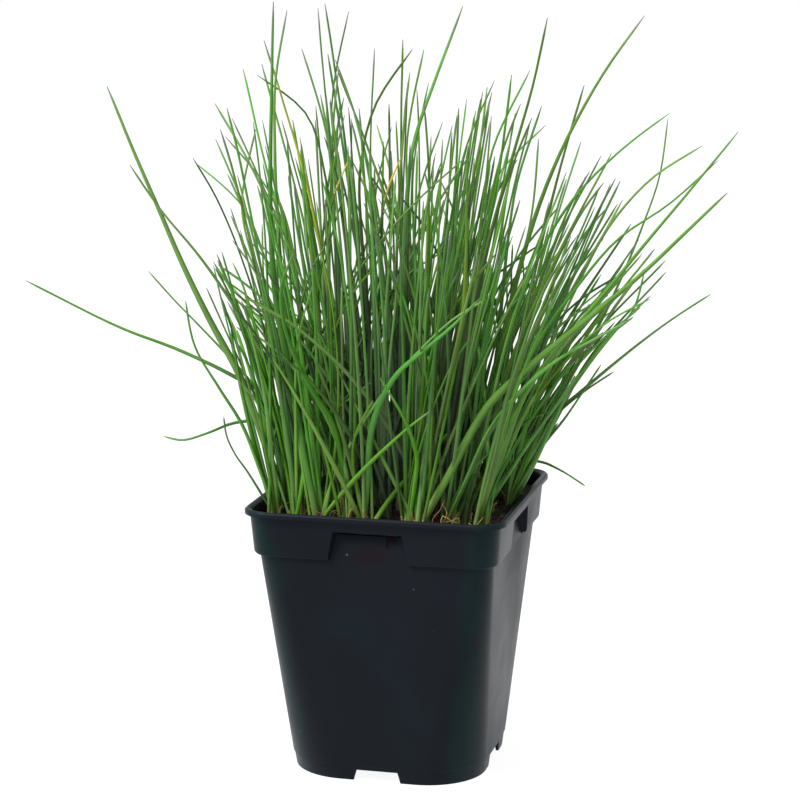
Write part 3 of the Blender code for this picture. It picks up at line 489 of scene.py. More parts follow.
def pot_material(settings):
    """Moulded black polypropylene: a fine matt grain, faint flow marks, and a sheen at a shallow angle.

    The grain is about 0.5 mm across. The black has a painted green-blue reflection towards the rounded
    corners, with specks of dust, and faint red-brown painted shade and a small pale speck in the front
    recess.
    """
    material, tree, shader = new_material("moulded black polypropylene")
    place = add_node(tree, "ShaderNodeTexCoord").outputs["Object"]
    cloudy = add_node(tree, "ShaderNodeTexNoise", {"Vector": place, "Scale": 28.0, "Detail": 4.0})
    absolute = add_node(tree, "ShaderNodeVectorMath", {0: place}, operation="ABSOLUTE")
    apart = add_node(tree, "ShaderNodeSeparateXYZ", {0: absolute})
    across = {0: apart.outputs["X"], 1: apart.outputs["Y"]}
    # Painted reflection: a green-blue tint that grows towards the rounded corners
    nearest = add_node(tree, "ShaderNodeMath", across, operation="MINIMUM")
    farthest = add_node(tree, "ShaderNodeMath", across, operation="MAXIMUM")
    to_corner = add_node(tree, "ShaderNodeMath", {0: nearest, 1: farthest}, operation="DIVIDE")
    painted_corner_reflection = add_node(tree, "ShaderNodeMapRange", {"Value": to_corner, "From Min": 0.66,
                                                 "From Max": 0.93}, interpolation_type="SMOOTHSTEP")
    painted_corner_reflection = add_node(tree, "ShaderNodeMath", {0: painted_corner_reflection, 1: cloudy, 2: -0.15}, operation="MULTIPLY_ADD")
    blend = add_node(tree, "ShaderNodeMath", {0: painted_corner_reflection, 1: cloudy}, operation="ADD")
    ramp = add_node(tree, "ShaderNodeValToRGB", {0: blend})
    set_ramp(ramp.color_ramp, ((0.15, "0f0f13"), (0.45, settings.plastic), (0.85, "0c1a1b")))
    colour = ramp
    # Painted shade, dark red-brown, in the front recess and its pocket, and a small pale speck there
    for centre, reach, patch_colour in RECESS_SHADE_AND_SPECK:
        apart = add_node(tree, "ShaderNodeVectorMath", {0: place, 1: centre}, operation="SUBTRACT")
        apart = add_node(tree, "ShaderNodeVectorMath", {0: apart, 1: reach}, operation="DIVIDE")
        away = add_node(tree, "ShaderNodeVectorMath", {0: apart}, operation="LENGTH")
        recess_patch = add_node(tree, "ShaderNodeMapRange", {"Value": away, "From Min": 1.0, "From Max": 0.2},
                          interpolation_type="SMOOTHSTEP")
        colour = add_node(tree, "ShaderNodeMix", {"Factor": recess_patch, "A": colour, "B": rgba(patch_colour)},
                          data_type="RGBA")
    dust = add_node(tree, "ShaderNodeTexVoronoi", {"Vector": place, "Scale": 75.0})
    speck = add_node(tree, "ShaderNodeMapRange", {"Value": dust.outputs["Distance"], "From Min": 0.018,
                                                  "From Max": 0.028, "To Min": 0.8, "To Max": 0.0})
    dusty = add_node(tree, "ShaderNodeMix", {"Factor": speck,
                                             "A": colour,
                                             "B": rgba("4b5557")}, data_type="RGBA")
    grain = add_node(tree, "ShaderNodeTexNoise", {"Vector": place, "Scale": 1800.0, "Detail": 2.0})
    flow = add_node(tree, "ShaderNodeMapping", {"Vector": place, "Scale": (1.0, 1.0, 7.0)})
    marks = add_node(tree, "ShaderNodeTexNoise", {"Vector": flow, "Scale": 40.0, "Detail": 3.0})
    height = add_node(tree, "ShaderNodeMath", {0: marks, 1: 6.0, 2: grain}, operation="MULTIPLY_ADD")
    bump = add_node(tree, "ShaderNodeBump", {"Strength": 0.35, "Distance": 0.04 * MM, "Height": height})
    rough = add_node(tree, "ShaderNodeMapRange",
                     {"Value": cloudy, "From Min": 0.3, "From Max": 0.7, "To Min": 0.34,
                      "To Max": 0.46})
    tree.links.new(socket_of(dusty.outputs, "Result"), shader.inputs["Base Color"])
    tree.links.new(rough.outputs[0], shader.inputs["Roughness"])
    tree.links.new(bump.outputs[0], shader.inputs["Normal"])
    shader.inputs["IOR"].default_value = 1.49
    shader.inputs["Specular IOR Level"].default_value = 0.105
    shader.inputs["Specular Tint"].default_value = rgba("c4e2f0")
    shader.inputs["Sheen Weight"].default_value = 0.04
    shader.inputs["Sheen Roughness"].default_value = 0.3
    shader.inputs["Sheen Tint"].default_value = rgba("8fc4e4")
    return material


class CHIVES_OT_pot(Operator):
    """Make the moulded pot with its collar, lip, recesses, foot band and drains"""

    bl_idname = "chives.make_pot"
    bl_label = "Pot"

    def execute(self, context):
        settings = context.scene.chives_pot
        wall = settings.wall
        bm = loft(pot_rings(wall, settings.corner_steps))
        bmesh.ops.recalc_face_normals(bm, faces=bm.faces[:])
        pot = new_object("nursery_pot", bm, pot_material(settings))
        low, back_low, back_high = COLLAR_BASE - wall, COLLAR_BASE + SHELF / 2, RECESS_TOP + wall
        slit = (RECESS_HALF_WIDTH_HIGH, RECESS_BACK_HIGH - SLIT_DEPTH, RECESS_BACK_HIGH + wall)
        through_foot = (FOOT_WIDTH / 2 - 3 * wall, FOOT_WIDTH / 2 + 3 * wall)
        cutters = (
            ("UNION", four_wedges(
                "recess_backs",
                (back_low, RECESS_HALF_WIDTH_LOW + wall, RECESS_BACK_LOW - wall,
                 collar_half(back_low) - wall / 2),
                (back_high, RECESS_HALF_WIDTH_HIGH + wall, RECESS_BACK_HIGH - wall,
                 collar_half(back_high) - wall / 2),
                RECESS_DRAFT, RECESS_ASIDE)),
            ("DIFFERENCE", four_wedges(
                "recess_cutters",
                (low, RECESS_HALF_WIDTH_LOW, body_half(low) + CUT_CLEAR, RIM_WIDTH / 2),
                (RECESS_TOP, RECESS_HALF_WIDTH_HIGH, RECESS_BACK_HIGH, RIM_WIDTH / 2),
                RECESS_DRAFT, RECESS_ASIDE)),
            ("DIFFERENCE", four_wedges(
                "slit_cutters", (RECESS_TOP - SLIT_HEIGHT, *slit), (RECESS_TOP, *slit), 0.0, RECESS_ASIDE)),
            ("DIFFERENCE", four_wedges(
                "notch_cutters", (-wall, NOTCH_HALF_WIDTH_LOW, *through_foot),
                (NOTCH_HEIGHT, NOTCH_HALF_WIDTH_HIGH, *through_foot))),
            ("DIFFERENCE", drain_cutters()),
            ("DIFFERENCE", gate_cutter()),
        )
        for operation, cutter in cutters:
            modifier = pot.modifiers.new(cutter.name, "BOOLEAN")
            modifier.operation, modifier.solver, modifier.object = operation, "EXACT", cutter
        edges = pot.modifiers.new("moulded edges", "BEVEL")
        edges.width, edges.segments, edges.limit_method = settings.edge, 3, "ANGLE"
        edges.angle_limit = BEVEL_ANGLE
        graph = context.evaluated_depsgraph_get()
        finished = bpy.data.meshes.new_from_object(pot.evaluated_get(graph), depsgraph=graph)
        pot.modifiers.clear()
        pot.data = finished
        finished.shade_smooth()
        finished.set_sharp_from_angle(angle=SHADE_ANGLE)
        for _, cutter in cutters:
            bpy.data.objects.remove(cutter)
        finish_piece(pot, "pot", "pot")
        return {"FINISHED"}


# Peat

PEAT_STEPS = 118  # faces along each side of the peat's top
PEAT_INSET = 1.5 * MM  # from the pot's outer face to the peat
PEAT_GAP = 0.3 * MM  # between the peat and the step or the floor under it
PEAT_EDGE_DROP = 1.4 * MM
PEAT_EDGE_FADE = 12  # one over the share of the half width on which the drop fades out
PEAT_EDGE_BUMPS = 0.35  # share of the bumps' height that is left at the wall
PEAT_SHADE_ANGLE = math.radians(60)
# Mounds, lumps and fine crumbling: how wide they are in mm, how high, and where in the noise they are read
PEAT_BUMPS = ((21.0, 0.9, (0, 0, 0)), (4.2, 0.55, (9, 3, 5)), (1.7, 0.4, (1, 7, 2)))
RECESS_ROOM = 0.6 * MM  # left beside the wall at the back of a recess
FOOT_CLEAR = 2.4 * MM  # the wall and half a leaf, between the back of a recess and the middle of a foot


def onto_rounded_square(u, v, half, corner):
    """Maps a place on the square from -1 to 1 to one on the rounded square of that half width."""
    x, y = u * half, v * half
    ring = max(abs(u), abs(v))
    straight = (half - corner) * ring
    over_x, over_y = abs(x) - straight, abs(y) - straight
    if over_x > 0 and over_y > 0:
        reach = max(over_x, over_y) / math.hypot(over_x, over_y)
        x = math.copysign(straight + over_x * reach, x)
        y = math.copysign(straight + over_y * reach, y)
    return x, y


def clear_of_recess(x, y, height, wall):
    """Draws a place in the peat in where the back of a collar recess takes up the room."""
    share = (height - COLLAR_BASE) / (RECESS_TOP - COLLAR_BASE)
    half_width = RECESS_HALF_WIDTH_LOW + (RECESS_HALF_WIDTH_HIGH - RECESS_HALF_WIDTH_LOW) * share
    half_width += wall + RECESS_DRAFT
    limit = recess_back(height) - wall - RECESS_ROOM
    if COLLAR_BASE < height < RECESS_TOP + 2 * wall:
        if abs(x) < half_width:
            y = max(-limit, min(limit, y))
        if abs(y) < half_width:
            x = max(-limit, min(limit, x))
    return x, y


def beside_recess(spot):
    """Draws a leaf's foot or a fibre's point in where the back of a collar recess takes up the room."""
    return Vector((*clear_of_recess(spot.x, spot.y, spot.z, FOOT_CLEAR), spot.z))


def peat_height(x, y, edge, bumps):
    """The height of the peat's surface: soft mounds, lumps and fine crumbling, lower along the wall."""
    spot = Vector((x, y, 0.0)) / MM
    height = sum(noise.noise(spot / width + Vector(place)) * share for width, share, place in PEAT_BUMPS)
    fade = min(max((1.0 - edge) * PEAT_EDGE_FADE, 0.0), 1.0)
    kept = PEAT_EDGE_BUMPS + (1 - PEAT_EDGE_BUMPS) * fade
    return SOIL_TOP - PEAT_EDGE_DROP * (1 - fade) + height * bumps / 2 * kept


def peat_material(settings):
    """Damp peat: matt, dark brown, with tan fibre ends and near-black wet hollows, 0.5 to 4 mm across."""
    material, tree, shader = new_material("damp garden peat")
    place = add_node(tree, "ShaderNodeTexCoord").outputs["Object"]
    lumps = add_node(tree, "ShaderNodeTexNoise", {"Vector": place, "Scale": 260.0, "Detail": 6.0,
                                                  "Roughness": 0.65})
    ramp = add_node(tree, "ShaderNodeValToRGB", {0: lumps})
    set_ramp(ramp.color_ramp, ((0.33, "0f0b0a"), (0.48, settings.colour), (0.62, "32251b"),
                               (0.75, "503c2b")))
    specks = add_node(tree, "ShaderNodeTexVoronoi", {"Vector": place, "Scale": 900.0})
    bright = add_node(tree, "ShaderNodeMapRange",
                      {"Value": specks.outputs["Distance"], "From Min": 0.1, "From Max": 0.25,
                       "To Min": 0.4, "To Max": 0.0})
    mix = add_node(tree, "ShaderNodeMix",
                   {"Factor": bright, "A": ramp, "B": rgba("7a5a39")},
                   data_type="RGBA")
    bump = add_node(tree, "ShaderNodeBump", {"Strength": 0.8, "Distance": 0.5 * MM, "Height": lumps})
    tree.links.new(socket_of(mix.outputs, "Result"), shader.inputs["Base Color"])
    tree.links.new(bump.outputs[0], shader.inputs["Normal"])
    shader.inputs["Roughness"].default_value = 0.92
    shader.inputs["Specular IOR Level"].default_value = 0.25
    return material


class CHIVES_OT_peat(Operator):
    """Make the peat, with an uneven top that is lower along the pot's wall"""

    bl_idname = "chives.make_peat"
    bl_label = "Peat"

    def execute(self, context):
        settings = context.scene.chives_peat
        wall = context.scene.chives_pot.wall
        half = collar_half(SOIL_TOP) - PEAT_INSET
        corner = COLLAR_CORNER - PEAT_INSET
        bm = bmesh.new()
        rows = []
        shares = [2 * i / PEAT_STEPS - 1 for i in range(PEAT_STEPS + 1)]
        for v in shares:
            row = []
            for u in shares:
                x, y = onto_rounded_square(u, v, half, corner)
                z = peat_height(x, y, max(abs(u), abs(v)), settings.bumps)
                row.append(bm.verts.new((*clear_of_recess(x, y, z, wall), z)))
            rows.append(row)
        for lower, upper in zip(rows, rows[1:]):
            for i in range(PEAT_STEPS):
                bm.faces.new((lower[i], lower[i + 1], upper[i + 1], upper[i]))
        last = PEAT_STEPS
        around = [(i, 0) for i in range(last)] + [(last, j) for j in range(last)]
        around += [(i, last) for i in range(last, 0, -1)] + [(0, j) for j in range(last, 0, -1)]
        above = [rows[j][i] for i, j in around]
        shelf = COLLAR_BASE + SHELF
        floor = FLOOR_UNDERSIDE + FLOOR_THICKNESS + PEAT_GAP
        # Down the pot's inside, round the step at the collar's foot: height, outer half width and corner
        sections = (
            (shelf + 5 * MM, collar_half(shelf + 5 * MM), COLLAR_CORNER),
            (shelf + 1.5 * MM, collar_half(shelf), COLLAR_CORNER),
            (shelf + PEAT_GAP, body_half(shelf), BODY_TOP_CORNER),
            (floor, body_half(floor), body_corner(floor)),
        )
        for height, outer, radius in sections:
            ring = []
            for i, j in around:
                x, y = onto_rounded_square(shares[i], shares[j], outer - PEAT_INSET, radius - PEAT_INSET)
                ring.append(bm.verts.new((*clear_of_recess(x, y, height, wall), height)))
            for i, upper in enumerate(above):
                following = (i + 1) % len(above)
                bm.faces.new((upper, ring[i], ring[following], above[following]))
            above = ring
        bm.faces.new(above)
        bmesh.ops.recalc_face_normals(bm, faces=bm.faces[:])
        peat = new_object("peat_filling", bm, peat_material(settings), PEAT_SHADE_ANGLE)
        finish_piece(peat, "peat", "soil")
        return {"FINISHED"}


# Litter on the peat

def crumb_material():
    """Loose peat crumbs: the peat's own browns, lighter where a crumb has dried."""
    material, tree, shader = new_material("dry peat crumbs")
    tone = add_node(tree, "ShaderNodeAttribute", attribute_name="tone").outputs["Fac"]
    ramp = add_node(tree, "ShaderNodeValToRGB", {0: tone})
    set_ramp(ramp.color_ramp, ((0.0, "17100c"), (0.5, "35251a"), (0.8, "57402b"), (1.0, "8a6a45")))
    place = add_node(tree, "ShaderNodeTexCoord").outputs["Object"]
    grain = add_node(tree, "ShaderNodeTexNoise", {"Vector": place, "Scale": 1400.0, "Detail": 3.0})
    bump = add_node(tree, "ShaderNodeBump", {"Strength": 0.7, "Distance": 0.2 * MM, "Height": grain})
    tree.links.new(ramp.outputs[0], shader.inputs["Base Color"])
    tree.links.new(bump.outputs[0], shader.inputs["Normal"])
    shader.inputs["Roughness"].default_value = 0.95
    shader.inputs["Specular IOR Level"].default_value = 0.2
    return material


def crumb_tree(material):
    """Scatters lumps of 20 faces over the surface that it is given."""
    tree, given, output = new_tree("scattered crumbs", (
        ("Density", "Float", 1.0), ("Size", "Float", MM), ("Seed", "Int", 3)))
    points = add_node(tree, "GeometryNodeDistributePointsOnFaces",
                      {"Mesh": given.outputs["Geometry"], "Density": given.outputs["Density"],
                       "Seed": given.outputs["Seed"]})
    ball = add_node(tree, "GeometryNodeMeshIcoSphere", {"Radius": 1.0, "Subdivisions": 1})
    share = add_node(tree, "FunctionNodeRandomValue", {0: (0.25, 0.2, 0.2), 1: (1.0, 0.8, 0.7), "Seed": 5},
                     data_type="FLOAT_VECTOR")
    even = add_node(tree, "FunctionNodeRandomValue", {"Min": 0.25, "Max": 1.0, "Seed": 9})
    shrink = add_node(tree, "ShaderNodeMath", {0: even.outputs["Value"], 1: 2.2}, operation="POWER")
    size = add_node(tree, "ShaderNodeMath", {0: shrink, 1: given.outputs["Size"]}, operation="MULTIPLY")
    scale = add_node(tree, "ShaderNodeVectorMath", {0: share, "Scale": size}, operation="SCALE")
    spin = add_node(tree, "FunctionNodeRandomValue", {0: (0, 0, 0), 1: (6.3, 6.3, 6.3), "Seed": 7},
                    data_type="FLOAT_VECTOR")
    lumps = add_node(tree, "GeometryNodeInstanceOnPoints",
                     {"Points": points.outputs["Points"], "Instance": ball.outputs["Mesh"],
                      "Rotation": spin, "Scale": scale})
    tone = add_node(tree, "FunctionNodeRandomValue", {"Min": 0.0, "Max": 1.0, "Seed": 21})
    toned = add_node(tree, "GeometryNodeStoreNamedAttribute",
                     {"Geometry": lumps, "Name": "tone", "Value": tone.outputs["Value"]},
                     domain="INSTANCE", data_type="FLOAT")
    finish_tree(tree, toned, material, output)
    return tree


def fibre_material():
    """Straw and root fibres in the peat: dull tan, orange-brown and near-black threads."""
    material, tree, shader = new_material("peat straw and root fibre")
    tone = add_node(tree, "ShaderNodeAttribute", attribute_name="tone").outputs["Fac"]
    ramp = add_node(tree, "ShaderNodeValToRGB", {0: tone})
    set_ramp(ramp.color_ramp, ((0.0, "241812"), (0.35, "533523"), (0.6, "845533"), (0.85, "ab8758"),
                               (1.0, "c4aa7c")))
    place = add_node(tree, "ShaderNodeTexCoord").outputs["Object"]
    patches = add_node(tree, "ShaderNodeTexNoise", {"Vector": place, "Scale": 420.0, "Detail": 2.0})
    value = add_node(tree, "ShaderNodeMapRange", {"Value": patches, "To Min": 0.55, "To Max": 1.35})
    tint = add_node(tree, "ShaderNodeHueSaturation", {"Value": value, "Color": ramp})
    tree.links.new(tint.outputs[0], shader.inputs["Base Color"])
    shader.inputs["Roughness"].default_value = 0.75
    return material


# Straws that show behind the front lip: both ends on the board in mm, and how pale each one is
SEEN_STRAWS = (
    ((-30.9, 109.9), (-23.0, 112.6), 0.45), ((-26.5, 115.3), (-25.2, 119.3), 0.42),
    ((5.4, 107.3), (3.6, 112.6), 0.5), ((14.1, 106.8), (19.4, 116.2), 0.5),
    ((18.1, 108.1), (25.9, 105.0), 0.82), ((25.6, 107.6), (19.2, 105.6), 0.6),
)
STRAW_LINE = -49.5 * MM  # along the inside of the front wall
STRAW_BOW = Vector((0.6, 0, -0.5)) * MM
STRAW_RADIUS = 0.2 * MM
FIBRE_STEPS = 6  # straight stretches along each fibre
FIBRE_LIFT = 0.25 * MM  # from the peat's surface to the middle of a fibre that lies on it
FIBRE_ROOM = 4 * MM  # from the peat's edge to where the fibres start, half of it also to where they end
FRONT_FIBRES = 3  # one fibre in this many lies near the front wall
FRONT_SPREAD = 5 * MM  # how far from that wall most of them lie
CRUMB_STEPS = 40  # faces along each side of the ground that the crumbs are scattered on
CRUMB_CORNER = 4 * MM  # side of the squares that this ground leaves out at the pot's corners


def fibre_lines(settings, rng):
    """Centrelines of the fibres: most lie on the peat, and some stand up out of it."""
    lines = []
    for low, high, tone in SEEN_STRAWS:
        behind = (STRAW_LINE - low[0] * MM * math.sin(VIEW_TURN)) / math.cos(VIEW_TURN)
        start, end = (from_board(*spot, behind) for spot in (low, high))
        foot = beside_recess(Vector((start.x, start.y, SOIL_TOP)))
        bowed = start.lerp(end, 0.5) + STRAW_BOW
        lines.append({"points": [foot, start, bowed, end], "width": STRAW_RADIUS, "tone": tone, "seed": tone})
    reach = collar_half(SOIL_TOP) - PEAT_INSET - FIBRE_ROOM
    edge = reach + FIBRE_ROOM / 2
    for number in range(settings.fibres):
        x, y = rng.uniform(-reach, reach), rng.uniform(-reach, reach)
        if number < settings.fibres // FRONT_FIBRES:
            y = -reach + abs(rng.gauss(0, FRONT_SPREAD))
        length = settings.fibre_length * rng.uniform(0.2, 1.0) ** 1.4
        heading, climb = rng.uniform(0, 2 * math.pi), max(rng.gauss(0.1, 0.32), -0.05)
        spot = Vector((x, y, 0.0))
        points = []
        for step in range(FIBRE_STEPS + 1):
            lift = climb * length * step / FIBRE_STEPS
            z = peat_height(spot.x, spot.y, 0.0, settings.bumps) + FIBRE_LIFT + max(lift, 0.0)
            points.append(beside_recess(Vector((spot.x, spot.y, z))))
            heading += rng.gauss(0, 0.32)
            spot += Vector((math.cos(heading), math.sin(heading), 0)) * length / FIBRE_STEPS
            spot.x, spot.y = (max(-edge, min(edge, c)) for c in spot.xy)
        radius = rng.uniform(0.10, 0.18) if rng.random() < 0.8 else rng.uniform(0.2, 0.34)
        lines.append({"points": points, "width": radius * MM, "tone": rng.random(), "seed": rng.random()})
    return lines


class CHIVES_OT_litter(Operator):
    """Make the crumbs, straws and root fibres that lie loose on the peat"""

    bl_idname = "chives.make_litter"
    bl_label = "Crumbs and fibres"

    def execute(self, context):
        settings = context.scene.chives_peat
        bm = bmesh.new()
        reach = collar_half(SOIL_TOP) - PEAT_INSET - MM
        places = [reach * (2 * i / CRUMB_STEPS - 1) for i in range(CRUMB_STEPS + 1)]
        rows = []
        for y in places:
            rows.append([bm.verts.new((x, y, peat_height(x, y, 0.0, settings.bumps))) for x in places])
        for lower, upper in zip(rows, rows[1:]):
            for i in range(CRUMB_STEPS):
                corners = (lower[i], lower[i + 1], upper[i + 1], upper[i])
                middle = sum((corner.co for corner in corners), Vector()) / 4
                if min(abs(middle.x), abs(middle.y)) < reach - CRUMB_CORNER:
                    bm.faces.new(corners)
        ground = bpy.data.meshes.new("crumb_ground")
        bm.to_mesh(ground)
        bm.free()
        crumbs = grow("peat_crumbs", ground, crumb_tree(crumb_material()),
                      {"Density": settings.crumb_density, "Size": settings.crumb_size})
        finish_piece(crumbs, "peat")
        rng = random.Random(context.scene.chives_leaf.seed)
        lines = line_mesh("fibre_lines", fibre_lines(settings, rng))
        fibres = grow("peat_fibres", lines, tube_tree("fibres", fibre_material(), FIBRE_SHAPE),
                      {"Sides": 5, "Rings": 9, "Flatness": 0.8, "Wobble": 0.6 * MM})
        lay_out_uv(fibres.data)
        finish_piece(fibres, "peat")
        return {"FINISHED"}


# Leaves

# How a tube's width follows its length: the share of its length, and of its full width
LEAF_SHAPE = ((0.0, 0.88), (0.05, 1.0), (0.15, 1.08), (0.35, 0.98), (0.55, 0.78), (0.8, 0.5), (1.0, 0.32))
FIBRE_SHAPE = ((0.0, 0.5), (0.3, 1.0), (0.7, 0.9), (1.0, 0.35))

# Tips of thin leaves that show against the white, on the board in mm
SEEN_TIPS = (
    (-89, 266), (-80, 218), (-77, 278), (-74, 287), (-70, 168), (-63, 281), (-61, 257), (-36, 288),
    (-33, 300), (-30, 291), (-26, 304), (-24, 284), (-2, 282), (4, 302), (7, 295), (10, 289), (13, 275),
    (15, 268), (18, 274), (22, 280), (25, 287), (29, 274), (32, 286), (35, 294), (39, 294), (39, 284),
    (51, 289), (56, 283), (64, 247), (81, 260), (87, 255), (90, 246), (92, 257), (101, 197), (104, 201),
    (105, 218), (108, 206),
)

# Thin leaves with dried orange ends: the tip on the board and a place lower down, in mm
ORANGE_LEAVES = (((-21, 267), (-30, 243)), ((0, 266), (-8, 243)))
ORANGE_BEHIND = -38 * MM
ORANGE_HALF_WIDTH = 0.5 * MM

# The fan that the thin leaves fill, on the board in mm: where a leaf with its root at the first value
# has its tip, and the height of the clump's crown at each place across
THIN_LEAN = ((-50, -69), (-20, -30), (0, 5), (12, 30), (25, 60), (50, 106))
THIN_CROWN = ((-82, 225), (-68, 250), (-56, 290), (-50, 250), (-46, 205), (-40, 205), (-35, 280), (-29, 314),
              (-22, 298), (-9, 264), (4, 266), (17, 262), (24, 284), (30, 272), (37, 285), (43, 272),
              (50, 280), (57, 258), (63, 240), (76, 262), (83, 250), (96, 218), (103, 215), (115, 200),
              (124, 190))
CROSSING_STRAY = 3.4  # how much further than others a crossing leaf's tip strays
FRONT_ROW = -26.0 * MM  # tufts nearer than this fan out wider, in straighter leaves
FRONT_FAN = 1.3
# The clump's right edge on the board, in mm: a height, and how far across the thin leaves reach there
RIGHT_EDGE = ((115, 62), (150, 69), (165, 76), (176, 82), (190, 90), (205, 104), (230, 118), (260, 128))
# The open place left of the clump's middle, on the board in mm: its sides, and its foot and top
GAP_ACROSS, GAP_HEIGHT = (-48, -36), (222, 276)
LEAF_FOOT = SOIL_TOP - 3 * MM  # the height in the peat where the leaves start
FOOT_REACH = 3.2 * MM  # how far from its tuft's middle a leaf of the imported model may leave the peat
DRY_ENDS = (0.0, 0.02, 0.03, 0.05, 0.1)  # the share of a leaf's length whose colour has faded
THIN_TRIES = 12
THIN_STEPS = 7  # straight stretches along each thin leaf
THIN_ASIDE = (0.5, 4.5, 1.2)  # from its tuft's middle to a thin leaf's foot, in mm: least, most and usual
THIN_HALF_WIDTHS = (0.5, 1.3, 0.8)  # half a thin leaf's width, in mm: least, most and usual
THIN_BENDS, FRONT_BENDS = (0.9, 2.4), (1.0, 1.5)  # powers of the height with which a thin leaf leans out
THIN_RISES = (1.0, 1.25)  # and with which it rises
THIN_BOW = 3.5  # how far most thin leaves bow aside, in mm
SHORT_REACH, LONG_REACH = (0.35, 0.75), (0.65, 0.98)  # shares of the way up to the crown
LOW_TIP = 0.2  # thin leaves whose tips are lower than this are stouter than the others
STOUT = 1.2
SKIN_FOOT = SOIL_TOP - 2 * MM
SKIN_LENGTHS = (4, 16, 8)  # of the dry skins, in mm: least, most and usual
SKIN_HALF_WIDTHS = (0.6, 1.3)
SKIN_LEANS = (0.1, 0.6)
SKIN_ASIDE = 1.6 * MM
SKIN_DROOP = 0.4
ALL_STRAW = 11.0  # makes a whole skin the colour of straw, and not only the start of a leaf
CLUMP_HALF = 46.0 * MM  # from the middle of the clump to the roots at its edge
DARK_SHARE = 0.6  # of the clump's half width, over which the painted shade on the leaves grows inwards
FAN = 1.25  # how much further behind or before the board a tip is than its root
TIP_CROWDING = 8  # mm that every tip a tuft already has counts against it
TIP_CHOICE = 4  # tufts that each seen tip is drawn among
MOUTH_ROOM = 3 * MM  # from the outside of the collar's top to the middle of a leaf that passes it
LIP_ROOM = 2 * MM  # how far above the lip that still holds
BLUSH_REACH = 2.0  # mm on the board between a blush's place and the tip that it is for

# A leaf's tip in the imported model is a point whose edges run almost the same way
MERGE_DISTANCE = 2e-6
LEVEL_ROOM = 2e-5  # how far off the crotch the points of a leaf's lowest ring may be
TIP_SHARPNESS = 0.97  # length of the mean of the directions of a tip's edges
TIP_EDGES = 5  # the most that meet at a tip


def read_leaves(node):
    """The centrelines of a shoot's leaves from base to tip, with half their width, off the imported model."""
    bm = bmesh.new()
    bm.from_mesh(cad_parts[node].data)
    bmesh.ops.remove_doubles(bm, verts=bm.verts, dist=MERGE_DISTANCE)
    leaves = []
    for vertex in bm.verts:
        around = [edge.other_vert(vertex) for edge in vertex.link_edges]
        if vertex.co.z < CROTCH - 5 * MM and len(around) != 4:
            continue
        mean = sum(((other.co - vertex.co).normalized() for other in around), Vector()) / len(around)
        if mean.length < TIP_SHARPNESS or len(around) > TIP_EDGES:
            continue
        seen, ring = {vertex}, set(around)
        line, widths = [vertex.co.copy()], []
        while ring:
            middle = sum((other.co for other in ring), Vector()) / len(ring)
            line.append(middle)
            widths.append(sum((other.co - middle).length for other in ring) / len(ring))
            seen |= ring
            if all(abs(other.co.z - CROTCH) < LEVEL_ROOM for other in ring):
                break
            ring = {edge.other_vert(other) for other in ring for edge in other.link_edges} - seen
        leaves.append((line[::-1], widths[-2]))
    bm.free()
    return leaves


def board_spot(point):
    """(across, height) in mm where the line of sight to a point meets the board."""
    spot = EYE + (point - EYE) * -EYE_BEHIND / (point.dot(AWAY) - EYE_BEHIND)
    return spot.dot(RIGHT) / MM, spot.z / MM


def from_board(across, height, behind):
    """The point at that depth behind the board which is seen at (across, height) mm on it."""
    spot = RIGHT * across * MM + Vector((0, 0, height * MM))
    return EYE + (spot - EYE) * ((behind - EYE_BEHIND) / -EYE_BEHIND)


def line_mesh(name, lines):
    """Each line as a chain of edges that carries its width, run, tone and other facts on its points."""
    points, edges, facts = [], [], {}
    keys = sorted(key for key in lines[0] if key != "points")
    for number, line in enumerate(lines):
        start = len(points)
        count = len(line["points"])
        points += line["points"]
        edges += [(start + i, start + i + 1) for i in range(count - 1)]
        steps = [(b - a).length for a, b in zip(line["points"], line["points"][1:])]
        run = np.concatenate(([0.0], np.cumsum(steps))) / sum(steps)
        facts.setdefault("run", []).extend(run)
        facts.setdefault("line", []).extend([number] * count)
        for key in keys:
            facts.setdefault(key, []).extend([line[key]] * count)
    mesh = bpy.data.meshes.new(name)
    mesh.from_pydata(points, edges, [])
    for key, values in facts.items():
        mesh.attributes.new(key, "FLOAT", "POINT").data.foreach_set("value", values)
    return mesh


